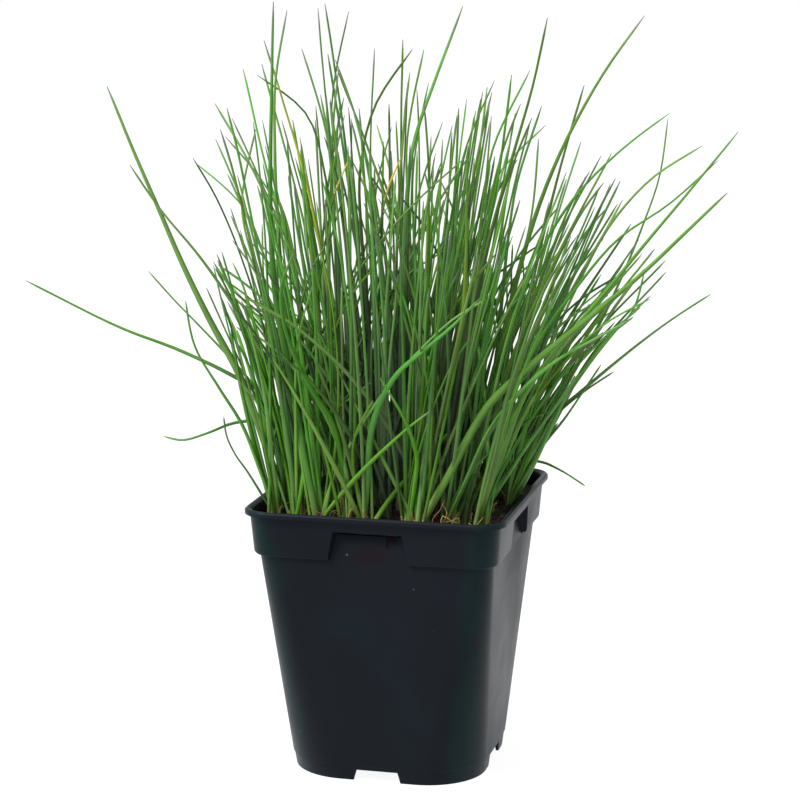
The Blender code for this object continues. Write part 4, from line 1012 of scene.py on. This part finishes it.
def tube_tree(name, material, shape):
    """Turns each chain of edges into a smooth closed tube whose width follows the shape."""
    tree, given, output = new_tree(name, (
        ("Sides", "Int", 8), ("Rings", "Int", 20), ("Flatness", "Float", 0.8), ("Wobble", "Float", MM),
        ("Finest", "Float", 0.0)))
    curve = add_node(tree, "GeometryNodeMeshToCurve", {"Mesh": given.outputs["Geometry"]})
    curve = add_node(tree, "GeometryNodeCurveSplineType", {"Curve": curve}, spline_type="CATMULL_ROM")
    curve = add_node(tree, "GeometryNodeSetSplineResolution", {0: curve, "Resolution": 8})
    curve = add_node(tree, "GeometryNodeResampleCurve", {0: curve, "Count": given.outputs["Rings"]})
    fact = {}
    for key in ("run", "width", "seed"):
        node = add_node(tree, "GeometryNodeInputNamedAttribute", {"Name": key}, data_type="FLOAT")
        fact[key] = node.outputs["Attribute"]
    # Each line strays in its own way, more towards its end.
    place = add_node(tree, "GeometryNodeInputPosition")
    own = add_node(tree, "ShaderNodeMath", {0: fact["seed"], 1: 90.0}, operation="MULTIPLY")
    stray = add_node(tree, "ShaderNodeTexNoise", {"Vector": place, "W": own, "Scale": 22.0,
                                                  "Detail": 1.0}, noise_dimensions="4D")
    centred = add_node(tree, "ShaderNodeVectorMath", {0: stray.outputs["Color"], 1: (0.5, 0.5, 0.5)},
                       operation="SUBTRACT")
    reach = add_node(tree, "ShaderNodeMath", {0: fact["run"], 1: given.outputs["Wobble"]},
                     operation="MULTIPLY")
    offset = add_node(tree, "ShaderNodeVectorMath", {0: centred, "Scale": reach}, operation="SCALE")
    curve = add_node(tree, "GeometryNodeSetPosition", {0: curve, "Offset": offset})
    turn = add_node(tree, "ShaderNodeMath", {0: fact["seed"], 1: 40.0}, operation="MULTIPLY")
    curve = add_node(tree, "GeometryNodeSetCurveTilt", {0: curve, "Tilt": turn})
    profile = add_node(tree, "ShaderNodeFloatCurve", {"Value": fact["run"]})
    points = profile.mapping.curves[0].points
    points[0].location, points[1].location = shape[0], shape[-1]
    for spot in shape[1:-1]:
        points.new(*spot)
    profile.mapping.update()
    radius = add_node(tree, "ShaderNodeMath", {0: profile, 1: fact["width"]}, operation="MULTIPLY")
    radius = add_node(tree, "ShaderNodeMath", {0: radius, 1: given.outputs["Finest"]}, operation="MAXIMUM")
    # The last stretch comes to a point.
    point = add_node(tree, "ShaderNodeMapRange", {"Value": fact["run"], "From Min": 0.965, "From Max": 1.0,
                                                  "To Min": 1.0, "To Max": 0.3})
    radius = add_node(tree, "ShaderNodeMath", {0: radius, 1: point}, operation="MULTIPLY")
    circle = add_node(tree, "GeometryNodeCurvePrimitiveCircle", {"Resolution": given.outputs["Sides"],
                                                                 "Radius": 1.0})
    around = add_node(tree, "GeometryNodeStoreNamedAttribute", {0: circle, "Name": "round",
                                                                "Value": place},
                      data_type="FLOAT_VECTOR", domain="POINT")
    oval = add_node(tree, "ShaderNodeCombineXYZ", {"X": 1.0, "Y": given.outputs["Flatness"], "Z": 1.0})
    section = add_node(tree, "GeometryNodeTransform", {0: around, "Scale": oval})
    tubes = add_node(tree, "GeometryNodeCurveToMesh",
                     {"Curve": curve, "Profile Curve": section,
                      "Scale": radius, "Fill Caps": True})
    finish_tree(tree, tubes, material, output)
    return tree


def lay_out_uv(mesh):
    """Gives every tube its own strip of a UV map named OFBake."""
    count = len(mesh.vertices)
    run, line = np.empty(count, np.float32), np.empty(count, np.float32)
    spot = np.empty(count * 3, np.float32)
    mesh.attributes["run"].data.foreach_get("value", run)
    mesh.attributes["line"].data.foreach_get("value", line)
    mesh.attributes["round"].data.foreach_get("vector", spot)
    angle = np.arctan2(spot[1::3], spot[0::3]) / (2 * math.pi) % 1.0
    corners = np.empty(len(mesh.loops), np.int32)
    mesh.loops.foreach_get("vertex_index", corners)
    starts, sizes = np.empty(len(mesh.polygons), np.int32), np.empty(len(mesh.polygons), np.int32)
    mesh.polygons.foreach_get("loop_start", starts)
    mesh.polygons.foreach_get("loop_total", sizes)
    face = np.repeat(np.arange(len(sizes)), sizes)
    turned = angle[corners]
    highest = np.maximum.reduceat(turned, starts)[face]
    lowest = np.minimum.reduceat(turned, starts)[face]
    is_cap = (sizes > 4)[face]
    turned = np.where((highest - lowest > 0.5) & (turned < 0.5) & ~is_cap, turned + 1.0, turned)
    strips = line.round().max() + 1
    along = 0.02 + 0.96 * run[corners]
    across = 0.04 + 0.88 * turned / 1.01
    spread = 0.008 * spot.reshape(-1, 3)[corners]
    at_tip = run[corners] > 0.5
    along = np.where(is_cap, np.where(at_tip, 0.991, 0.009) + spread[:, 0] / 2, along)
    across = np.where(is_cap, 0.5 + spread[:, 1] * 20, across)
    layer = mesh.uv_layers.new(name="OFBake")
    uv = np.column_stack((along, (line[corners].round() + across) / strips))
    layer.data.foreach_set("uv", uv.astype(np.float32).ravel())


def leaf_material(settings):
    """Chive leaf: a thin-walled hollow tube with fine ribs along it and a soft waxy bloom.

    The ribs are about 0.4 mm apart. Its base is pale and clean, and its tip dries to grey-green.
    """
    material, tree, shader = new_material("waxy chive leaf")
    fact = {key: add_node(tree, "ShaderNodeAttribute", attribute_name=key)
            for key in ("run", "tone", "dry", "blush", "seed", "shade", "orange", "straw", "round")}
    run, tone = fact["run"].outputs["Fac"], fact["tone"].outputs["Fac"]
    ramp = add_node(tree, "ShaderNodeValToRGB", {0: run})
    set_ramp(ramp.color_ramp, ((0.0, settings.base), (0.035, "677f42"), (0.1, "4c7331"),
                               (0.4, settings.green), (0.75, "4a7931"), (1.0, "507c38")))
    # Ribs and streaks run the leaf's whole length.
    wide = add_node(tree, "ShaderNodeVectorMath", {0: fact["round"].outputs["Vector"], "Scale": 2.6},
                    operation="SCALE")
    own = add_node(tree, "ShaderNodeMath", {0: fact["seed"].outputs["Fac"], 1: 60.0}, operation="MULTIPLY")
    length = add_node(tree, "ShaderNodeMath", {0: run, 1: 3.0, 2: own}, operation="MULTIPLY_ADD")
    lift = add_node(tree, "ShaderNodeCombineXYZ", {"Z": length})
    streak_place = add_node(tree, "ShaderNodeVectorMath", {0: wide, 1: lift}, operation="ADD")
    streaks = add_node(tree, "ShaderNodeTexNoise", {"Vector": streak_place, "Scale": 1.0, "Detail": 3.0})
    place = add_node(tree, "ShaderNodeTexCoord").outputs["Object"]
    mottle = add_node(tree, "ShaderNodeTexNoise", {"Vector": place, "Scale": 70.0, "Detail": 3.0})
    light = add_node(tree, "ShaderNodeMapRange", {"Value": streaks, "From Min": 0.3,
                                                  "From Max": 0.7, "To Min": 0.78, "To Max": 1.22})
    patch = add_node(tree, "ShaderNodeMapRange", {"Value": mottle, "From Min": 0.3,
                                                  "From Max": 0.7, "To Min": 0.86, "To Max": 1.14})
    grown = add_node(tree, "ShaderNodeMapRange", {"Value": tone, "To Min": 0.52, "To Max": 1.28})
    value = add_node(tree, "ShaderNodeMath", {0: light, 1: patch}, operation="MULTIPLY")
    value = add_node(tree, "ShaderNodeMath", {0: value, 1: grown}, operation="MULTIPLY")
    # Painted shade: inside the clump the lower stretches of the leaves are darker and duller, the more so the
    # further in their tuft stands.
    low = add_node(tree, "ShaderNodeMapRange",
                   {"Value": run, "From Min": 0.1, "From Max": 0.9, "To Min": 1.0, "To Max": 0.0},
                   interpolation_type="SMOOTHSTEP")
    dull = add_node(tree, "ShaderNodeMath", {0: low, 1: fact["shade"].outputs["Fac"]}, operation="MULTIPLY")
    dark = add_node(tree, "ShaderNodeMapRange", {"Value": dull, "To Min": 1.0, "To Max": 0.52})
    value = add_node(tree, "ShaderNodeMath", {0: value, 1: dark}, operation="MULTIPLY")
    # Each leaf has its own amount of soil and painted shade at its foot, and its own hue.
    chance = {}
    for key, factor in (("foot", 7.0), ("hue", 13.7), ("vivid", 29.3)):
        many = add_node(tree, "ShaderNodeMath", {0: fact["seed"].outputs["Fac"], 1: factor},
                        operation="MULTIPLY")
        chance[key] = add_node(tree, "ShaderNodeMath", {0: many}, operation="FRACT")
    soil_and_shade_at_foot = add_node(tree, "ShaderNodeMapRange", {"Value": chance["foot"], "To Min": 0.78, "To Max": 1.15})
    clean = add_node(tree, "ShaderNodeMapRange", {"Value": run, "From Min": 0.02, "From Max": 0.2,
                                                  "To Min": soil_and_shade_at_foot, "To Max": 1.0})
    value = add_node(tree, "ShaderNodeMath", {0: value, 1: clean}, operation="MULTIPLY")
    # Painted shade also takes colour out of the leaves inside the clump.
    vivid = add_node(tree, "ShaderNodeMapRange", {"Value": dull, "To Min": 1.0, "To Max": 0.5})
    own_vivid = add_node(tree, "ShaderNodeMapRange",
                         {"Value": chance["vivid"], "To Min": 0.9, "To Max": 1.16})
    vivid = add_node(tree, "ShaderNodeMath", {0: vivid, 1: own_vivid}, operation="MULTIPLY")
    hue = add_node(tree, "ShaderNodeMapRange", {"Value": chance["hue"], "To Min": 0.515, "To Max": 0.473})
    green = add_node(tree, "ShaderNodeHueSaturation", {"Hue": hue, "Saturation": vivid,
                                                       "Value": value, "Color": ramp})
    blushed = add_node(tree, "ShaderNodeMix", {"Factor": fact["blush"].outputs["Fac"], "A": green,
                                               "B": rgba("a3ab2c")}, data_type="RGBA")
    straw = add_node(tree, "ShaderNodeMath", {0: run, 1: -10.0, 2: fact["straw"].outputs["Fac"]},
                     operation="MULTIPLY_ADD", use_clamp=True)
    straw_tone = add_node(tree, "ShaderNodeValToRGB", {0: tone})
    set_ramp(straw_tone.color_ramp, ((0.0, "3a2f22"), (0.45, "6b6238"), (1.0, "a08c58")))
    blushed = add_node(tree, "ShaderNodeMix", {"Factor": straw,
                                               "A": blushed,
                                               "B": straw_tone}, data_type="RGBA")
    start = add_node(tree, "ShaderNodeMath", {0: 1.0, 1: fact["dry"].outputs["Fac"]}, operation="SUBTRACT")
    dried = add_node(tree, "ShaderNodeMapRange", {"Value": run, "From Min": start, "From Max": 1.0,
                                                  "To Max": 0.85}, interpolation_type="SMOOTHSTEP")
    colour = add_node(tree, "ShaderNodeMix", {"Factor": dried, "A": blushed,
                                              "B": rgba("5c6158")}, data_type="RGBA")
    end = add_node(tree, "ShaderNodeMapRange",
                   {"Value": run, "From Min": 0.88, "From Max": 0.95, "To Max": 0.8},
                   interpolation_type="SMOOTHSTEP")
    orange = add_node(tree, "ShaderNodeMath", {0: end, 1: fact["orange"].outputs["Fac"]},
                      operation="MULTIPLY")
    colour = add_node(tree, "ShaderNodeMix", {"Factor": orange,
                                              "A": colour,
                                              "B": rgba("c4a436")}, data_type="RGBA")
    bump = add_node(tree, "ShaderNodeBump", {"Strength": 0.3, "Distance": 0.1 * MM, "Height": streaks})
    rough = add_node(tree, "ShaderNodeMapRange", {"Value": mottle, "To Min": 0.36, "To Max": 0.56})
    tree.links.new(socket_of(colour.outputs, "Result"), shader.inputs["Base Color"])
    tree.links.new(rough.outputs[0], shader.inputs["Roughness"])
    tree.links.new(bump.outputs[0], shader.inputs["Normal"])
    shader.inputs["Specular IOR Level"].default_value = 0.12
    return material


def leaf_path(line, root):
    """A leaf's centreline carried on straight down into the peat, as far as its tuft's foot allows."""
    run_down = line[2] + (line[2] - line[3]) * (line[2].z - LEAF_FOOT) / max(line[3].z - line[2].z, MM)
    aside = Vector((run_down.x - root.x, run_down.y - root.y, 0.0))
    aside.length = min(aside.length, FOOT_REACH)
    foot = beside_recess(Vector((root.x, root.y, LEAF_FOOT)) + aside)
    return [foot, foot.lerp(line[2], 0.5), *line[2:]]


def random_tip(root, foot, settings, rng):
    """A tip for a thin leaf that leans as the clump does at its root and ends under the crown."""
    stray = settings.scatter * (CROSSING_STRAY if rng.random() < settings.crossing_share else 1.0)
    across = np.interp(root.dot(RIGHT) / MM, *zip(*THIN_LEAN))
    across = across * (FRONT_FAN if root.dot(AWAY) < FRONT_ROW else 1.0) + rng.gauss(0, stray / MM)
    across = min(max(across, THIN_CROWN[0][0]), THIN_CROWN[-1][0])
    depth = root.dot(AWAY) * FAN + rng.gauss(0, stray)
    crown = from_board(across, np.interp(across, *zip(*THIN_CROWN)), depth)
    reach = SHORT_REACH if rng.random() < settings.short_share else LONG_REACH
    return foot.lerp(crown, rng.uniform(*reach))


def thin_leaf(root, tip_on_board, settings, rng):
    """A thin young leaf from beside a root, with its tip at that place on the board or a random one."""
    for _ in range(THIN_TRIES):
        turn, aside = rng.uniform(0, 2 * math.pi), rng.triangular(*THIN_ASIDE) * MM
        foot = root + Vector((math.cos(turn), math.sin(turn), 0)) * aside
        foot.z = LEAF_FOOT
        if tip_on_board:
            tip = from_board(*tip_on_board, root.dot(AWAY) * FAN + rng.gauss(0, settings.scatter))
        else:
            tip = random_tip(root, foot, settings, rng)
        away = Vector((tip.x - foot.x, tip.y - foot.y, 0))
        lean = rng.uniform(*(FRONT_BENDS if root.dot(AWAY) < FRONT_ROW else THIN_BENDS))
        rise = rng.uniform(*THIN_RISES)
        bow = Vector((rng.gauss(0, 1), rng.gauss(0, 1), 0)) * THIN_BOW * MM
        points = []
        for step in range(THIN_STEPS + 1):
            share = step / THIN_STEPS
            spot = foot + away * share ** lean + bow * 4 * share * (1 - share)
            spot.z += (tip.z - foot.z) * (1 - (1 - share) ** rise)
            points.append(spot)
        kept = tip_on_board or not any(beyond_right_edge(point) or in_gap(point) for point in points)
        if kept and within_pot_mouth(points) and all(inside_box(point) for point in points):
            return [beside_recess(points[0]), *points[1:]]
    return None


def dry_skin(root, rng):
    """A dry skin of an old sheath, which stands beside a root and curls away from it."""
    turn, length = rng.uniform(0, 2 * math.pi), rng.triangular(*SKIN_LENGTHS) * MM
    lean = rng.uniform(*SKIN_LEANS)
    out = Vector((math.cos(turn), math.sin(turn), 0))
    points = []
    for step in range(5):
        share = step / 4
        spot = root + out * (SKIN_ASIDE + length * lean * share ** 2)
        spot.z = SKIN_FOOT + length * share * (1 - SKIN_DROOP * lean * share)
        points.append(beside_recess(spot))
    return points


def tips_by_shoot(roots, rng):
    """Shares the tips that were read off the photograph out to the tufts that they can grow from."""
    leans = {node: np.interp(root.dot(RIGHT) / MM, *zip(*THIN_LEAN)) for node, root in roots.items()}
    shares = {node: [] for node in roots}
    for tip in SEEN_TIPS:
        near = sorted(roots, key=lambda node: abs(leans[node] - tip[0]) + TIP_CROWDING * len(shares[node]))
        shares[rng.choice(near[:TIP_CHOICE])].append(tip)
    return shares


def inner_share(root):
    """How far inside the clump a tuft stands, from 0 at its edge to 1 at its middle: the painted shade on its
    leaves.
    """
    edge = max(abs(root.x), abs(root.y)) / CLUMP_HALF
    share = min(max((1.0 - edge) / DARK_SHARE, 0.0), 1.0)
    return share * share * (3 - 2 * share)


def inside_box(point):
    """Whether a leaf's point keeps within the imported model's reach."""
    low, high = CAD_BOX
    return all(low[i] + MM < point[i] < high[i] - MM for i in range(2)) and point.z < high[2] - MM


def beyond_right_edge(point):
    """Whether a leaf's point would show right of the clump's edge."""
    across, height = board_spot(point)
    return across > np.interp(height, *zip(*RIGHT_EDGE))


def in_gap(point):
    """Whether a leaf's point would show in the open place left of the clump's middle."""
    across, height = board_spot(point)
    return GAP_ACROSS[0] < across < GAP_ACROSS[1] and GAP_HEIGHT[0] < height < GAP_HEIGHT[1]


def leaf_row(points, width, root, rng, straw=None):
    """A leaf's path and half width, with the facts that its tube and its colours follow."""
    # shade is how much painted shade the leaf's lower stretch gets inside the clump
    return {"points": points, "width": width, "tone": min(max(rng.gauss(0.5, 0.32), 0), 1),
            "dry": rng.choice(DRY_ENDS), "seed": rng.random(), "shade": inner_share(root),
            "orange": 0.0, "straw": straw or rng.random() ** 3}


def leaf_lines(settings):
    """Every leaf of every shoot as facts for its tube, by shoot."""
    rng = random.Random(settings.seed)
    read = {node: read_leaves(node) for node in SHOOTS}
    if not all(read.values()):
        raise ValueError(f"no leaf in {[node for node in SHOOTS if not read[node]]}")
    roots = {node: sum((line[0] for line, _ in leaves), Vector()) / len(leaves)
             for node, leaves in read.items()}
    seen = tips_by_shoot(roots, rng)
    shoots = {}
    for node, leaves in read.items():
        root, rows = roots[node], []
        for line, half_width in leaves:
            rows.append(leaf_row(leaf_path(line, root), half_width * settings.width, root, rng))
        count = settings.thin_leaves + (settings.front_leaves if root.dot(AWAY) < FRONT_ROW else 0)
        for tip in [*seen[node], *[None] * count]:
            thin = thin_leaf(root, tip, settings, rng)
            if thin:
                stout = STOUT if thin[-1].z < LOW_TIP else 1.0
                rows.append(leaf_row(thin, rng.triangular(*THIN_HALF_WIDTHS) * stout * MM, root, rng))
        for _ in range(settings.skins):
            skin = dry_skin(root, rng)
            if within_pot_mouth(skin):
                rows.append(leaf_row(skin, rng.uniform(*SKIN_HALF_WIDTHS) * MM, root, rng, ALL_STRAW))
        shoots[node] = rows
    for tip, lower in ORANGE_LEAVES:
        # The tuft whose middle is nearest to where the leaf's line comes out below.
        foot_across = 3 * lower[0] - 2 * tip[0]
        node = min(SHOOTS, key=lambda name: abs(roots[name].dot(RIGHT) / MM - foot_across))
        root = roots[node]
        end, below = (from_board(*spot, ORANGE_BEHIND) for spot in (tip, lower))
        points = [Vector((root.x, root.y, LEAF_FOOT)), root.lerp(below, 0.5), below, end]
        shoots[node].append(
            {**shoots[node][0], "points": points, "width": ORANGE_HALF_WIDTH, "orange": 1.0})
    return shoots


def within_pot_mouth(points):
    """Whether a leaf's path stays inside the lip where it passes it."""
    mouth = collar_half(POT_HEIGHT) - MOUTH_ROOM
    for start, end in zip(points, points[1:]):
        for share in np.linspace(0, 1, 9):
            spot = start.lerp(end, share)
            if spot.z < POT_HEIGHT + LIP_ROOM and max(abs(spot.x), abs(spot.y)) > mouth:
                return False
    return True


def add_blush(mesh, rows):
    """Writes how yellow each point of a leaf is, for the leaves that stand out by their colour."""
    count = len(mesh.vertices)
    run, line = np.empty(count, np.float32), np.empty(count, np.float32)
    mesh.attributes["run"].data.foreach_get("value", run)
    mesh.attributes["line"].data.foreach_get("value", line)
    blush = np.zeros(count, np.float32)
    for place, middle, spread, strength in BLUSHES:
        for number, row in enumerate(rows):
            if math.dist(board_spot(row["points"][-1]), place) < BLUSH_REACH:
                fade = np.clip(1 - np.abs(run - middle) / spread, 0, 1)
                blush = np.where(line.round() == number, np.maximum(blush, fade * strength), blush)
    mesh.attributes.new("blush", "FLOAT", "POINT").data.foreach_set("value", blush)


class CHIVES_OT_tufts(Operator):
    """Make the chive tufts: each shoot's leaves as smooth waxy tubes that rise out of the peat"""

    bl_idname = "chives.make_tufts"
    bl_label = "Chive tufts"

    def execute(self, context):
        settings = context.scene.chives_leaf
        tree = tube_tree("chive leaves", leaf_material(settings), LEAF_SHAPE)
        for node, rows in leaf_lines(settings).items():
            tuft = grow(node.replace("shoot", "chive_tuft"), line_mesh("leaf_lines", rows), tree,
                        {"Sides": settings.sides, "Rings": settings.rings, "Flatness": settings.flatness,
                         "Wobble": settings.wobble, "Finest": settings.finest})
            add_blush(tuft.data, rows)
            lay_out_uv(tuft.data)
            finish_piece(tuft, "leaf", node)
        return {"FINISHED"}


# Stage

FLOOR_DROP = 0.1 * MM  # from the pot's foot to the floor
FLOOR_GLOW = 0.92  # keeps the floor white in the pot's shade
KEY_PLACE = Vector((-0.9, -1.0, 1.5))
KEY_SIZE = 0.9
SENSOR_WIDTH = 36.0
CLIP_END = 50.0


class CHIVES_OT_stage(Operator):
    """Set a plain white floor, an even white surround, a soft light and the camera"""

    bl_idname = "chives.set_stage"
    bl_label = "Floor, light and camera"

    def execute(self, context):
        settings = context.scene.chives_stage
        scene = context.scene
        material, _, shader = new_material("white light table")
        shader.inputs["Base Color"].default_value = rgba("606060")
        shader.inputs["Roughness"].default_value = 0.9
        shader.inputs["Specular IOR Level"].default_value = 0.1
        shader.inputs["Emission Color"].default_value = rgba("ffffff")
        shader.inputs["Emission Strength"].default_value = FLOOR_GLOW
        bm = bmesh.new()
        half = settings.floor / 2
        corners = ((-half, -half), (half, -half), (half, half), (-half, half))
        bm.faces.new([bm.verts.new((x, y, -FLOOR_DROP)) for x, y in corners])
        new_object("studio_floor", bm, material)

        world = bpy.data.worlds.new("white surround")
        world.use_nodes = True
        background = world.node_tree.nodes["Background"]
        background.inputs["Color"].default_value = (1, 1, 1, 1)
        background.inputs["Strength"].default_value = settings.sky
        scene.world = world

        light = bpy.data.lights.new("key", "AREA")
        light.energy, light.shape, light.size = settings.key, "SQUARE", KEY_SIZE
        key = bpy.data.objects.new("key", light)
        key.location = KEY_PLACE
        key.rotation_euler = (VIEW_AIM - KEY_PLACE).to_track_quat("-Z", "Y").to_euler()
        scene.collection.objects.link(key)

        data = bpy.data.cameras.new("camera")
        data.lens, data.sensor_width, data.clip_end = settings.lens, SENSOR_WIDTH, CLIP_END
        data.shift_x, data.shift_y = LENS_SHIFT
        camera = bpy.data.objects.new("camera", data)
        camera.location = EYE
        camera.rotation_euler = (VIEW_AIM - EYE).to_track_quat("-Z", "Y").to_euler()
        scene.collection.objects.link(camera)
        scene.camera = camera
        scene.view_settings.view_transform = "Standard"
        return {"FINISHED"}


# Add-on

OPERATORS = (CHIVES_OT_stage, CHIVES_OT_pot, CHIVES_OT_peat, CHIVES_OT_litter, CHIVES_OT_tufts)
SETTINGS = {"chives_pot": PotSettings, "chives_peat": PeatSettings, "chives_leaf": LeafSettings,
            "chives_stage": StageSettings}


class CHIVES_PT_pieces(Panel):
    """The pieces of the potted chives, with their settings"""

    bl_idname = "CHIVES_PT_pieces"
    bl_label = "Potted chives"
    bl_space_type = "VIEW_3D"
    bl_region_type = "UI"
    bl_category = "Chives"

    def draw(self, context):
        for operator in OPERATORS:
            self.layout.operator(operator.bl_idname)
        for name, group in SETTINGS.items():
            box = self.layout.box()
            for prop in group.__annotations__:
                box.prop(getattr(context.scene, name), prop)


def register():
    """Adds the operators, the panel and the settings."""
    for group in (*SETTINGS.values(), *OPERATORS, CHIVES_PT_pieces):
        bpy.utils.register_class(group)
    for name, group in SETTINGS.items():
        setattr(bpy.types.Scene, name, PointerProperty(type=group))


def unregister():
    """Takes them away again."""
    for name in SETTINGS:
        delattr(bpy.types.Scene, name)
    for group in (CHIVES_PT_pieces, *OPERATORS, *SETTINGS.values()):
        bpy.utils.unregister_class(group)


def main():
    """Builds the stage and every piece."""
    register()
    bpy.ops.chives.set_stage()
    bpy.ops.chives.make_pot()
    bpy.ops.chives.make_peat()
    bpy.ops.chives.make_litter()
    bpy.ops.chives.make_tufts()


if __name__ == "__main__":
    main()
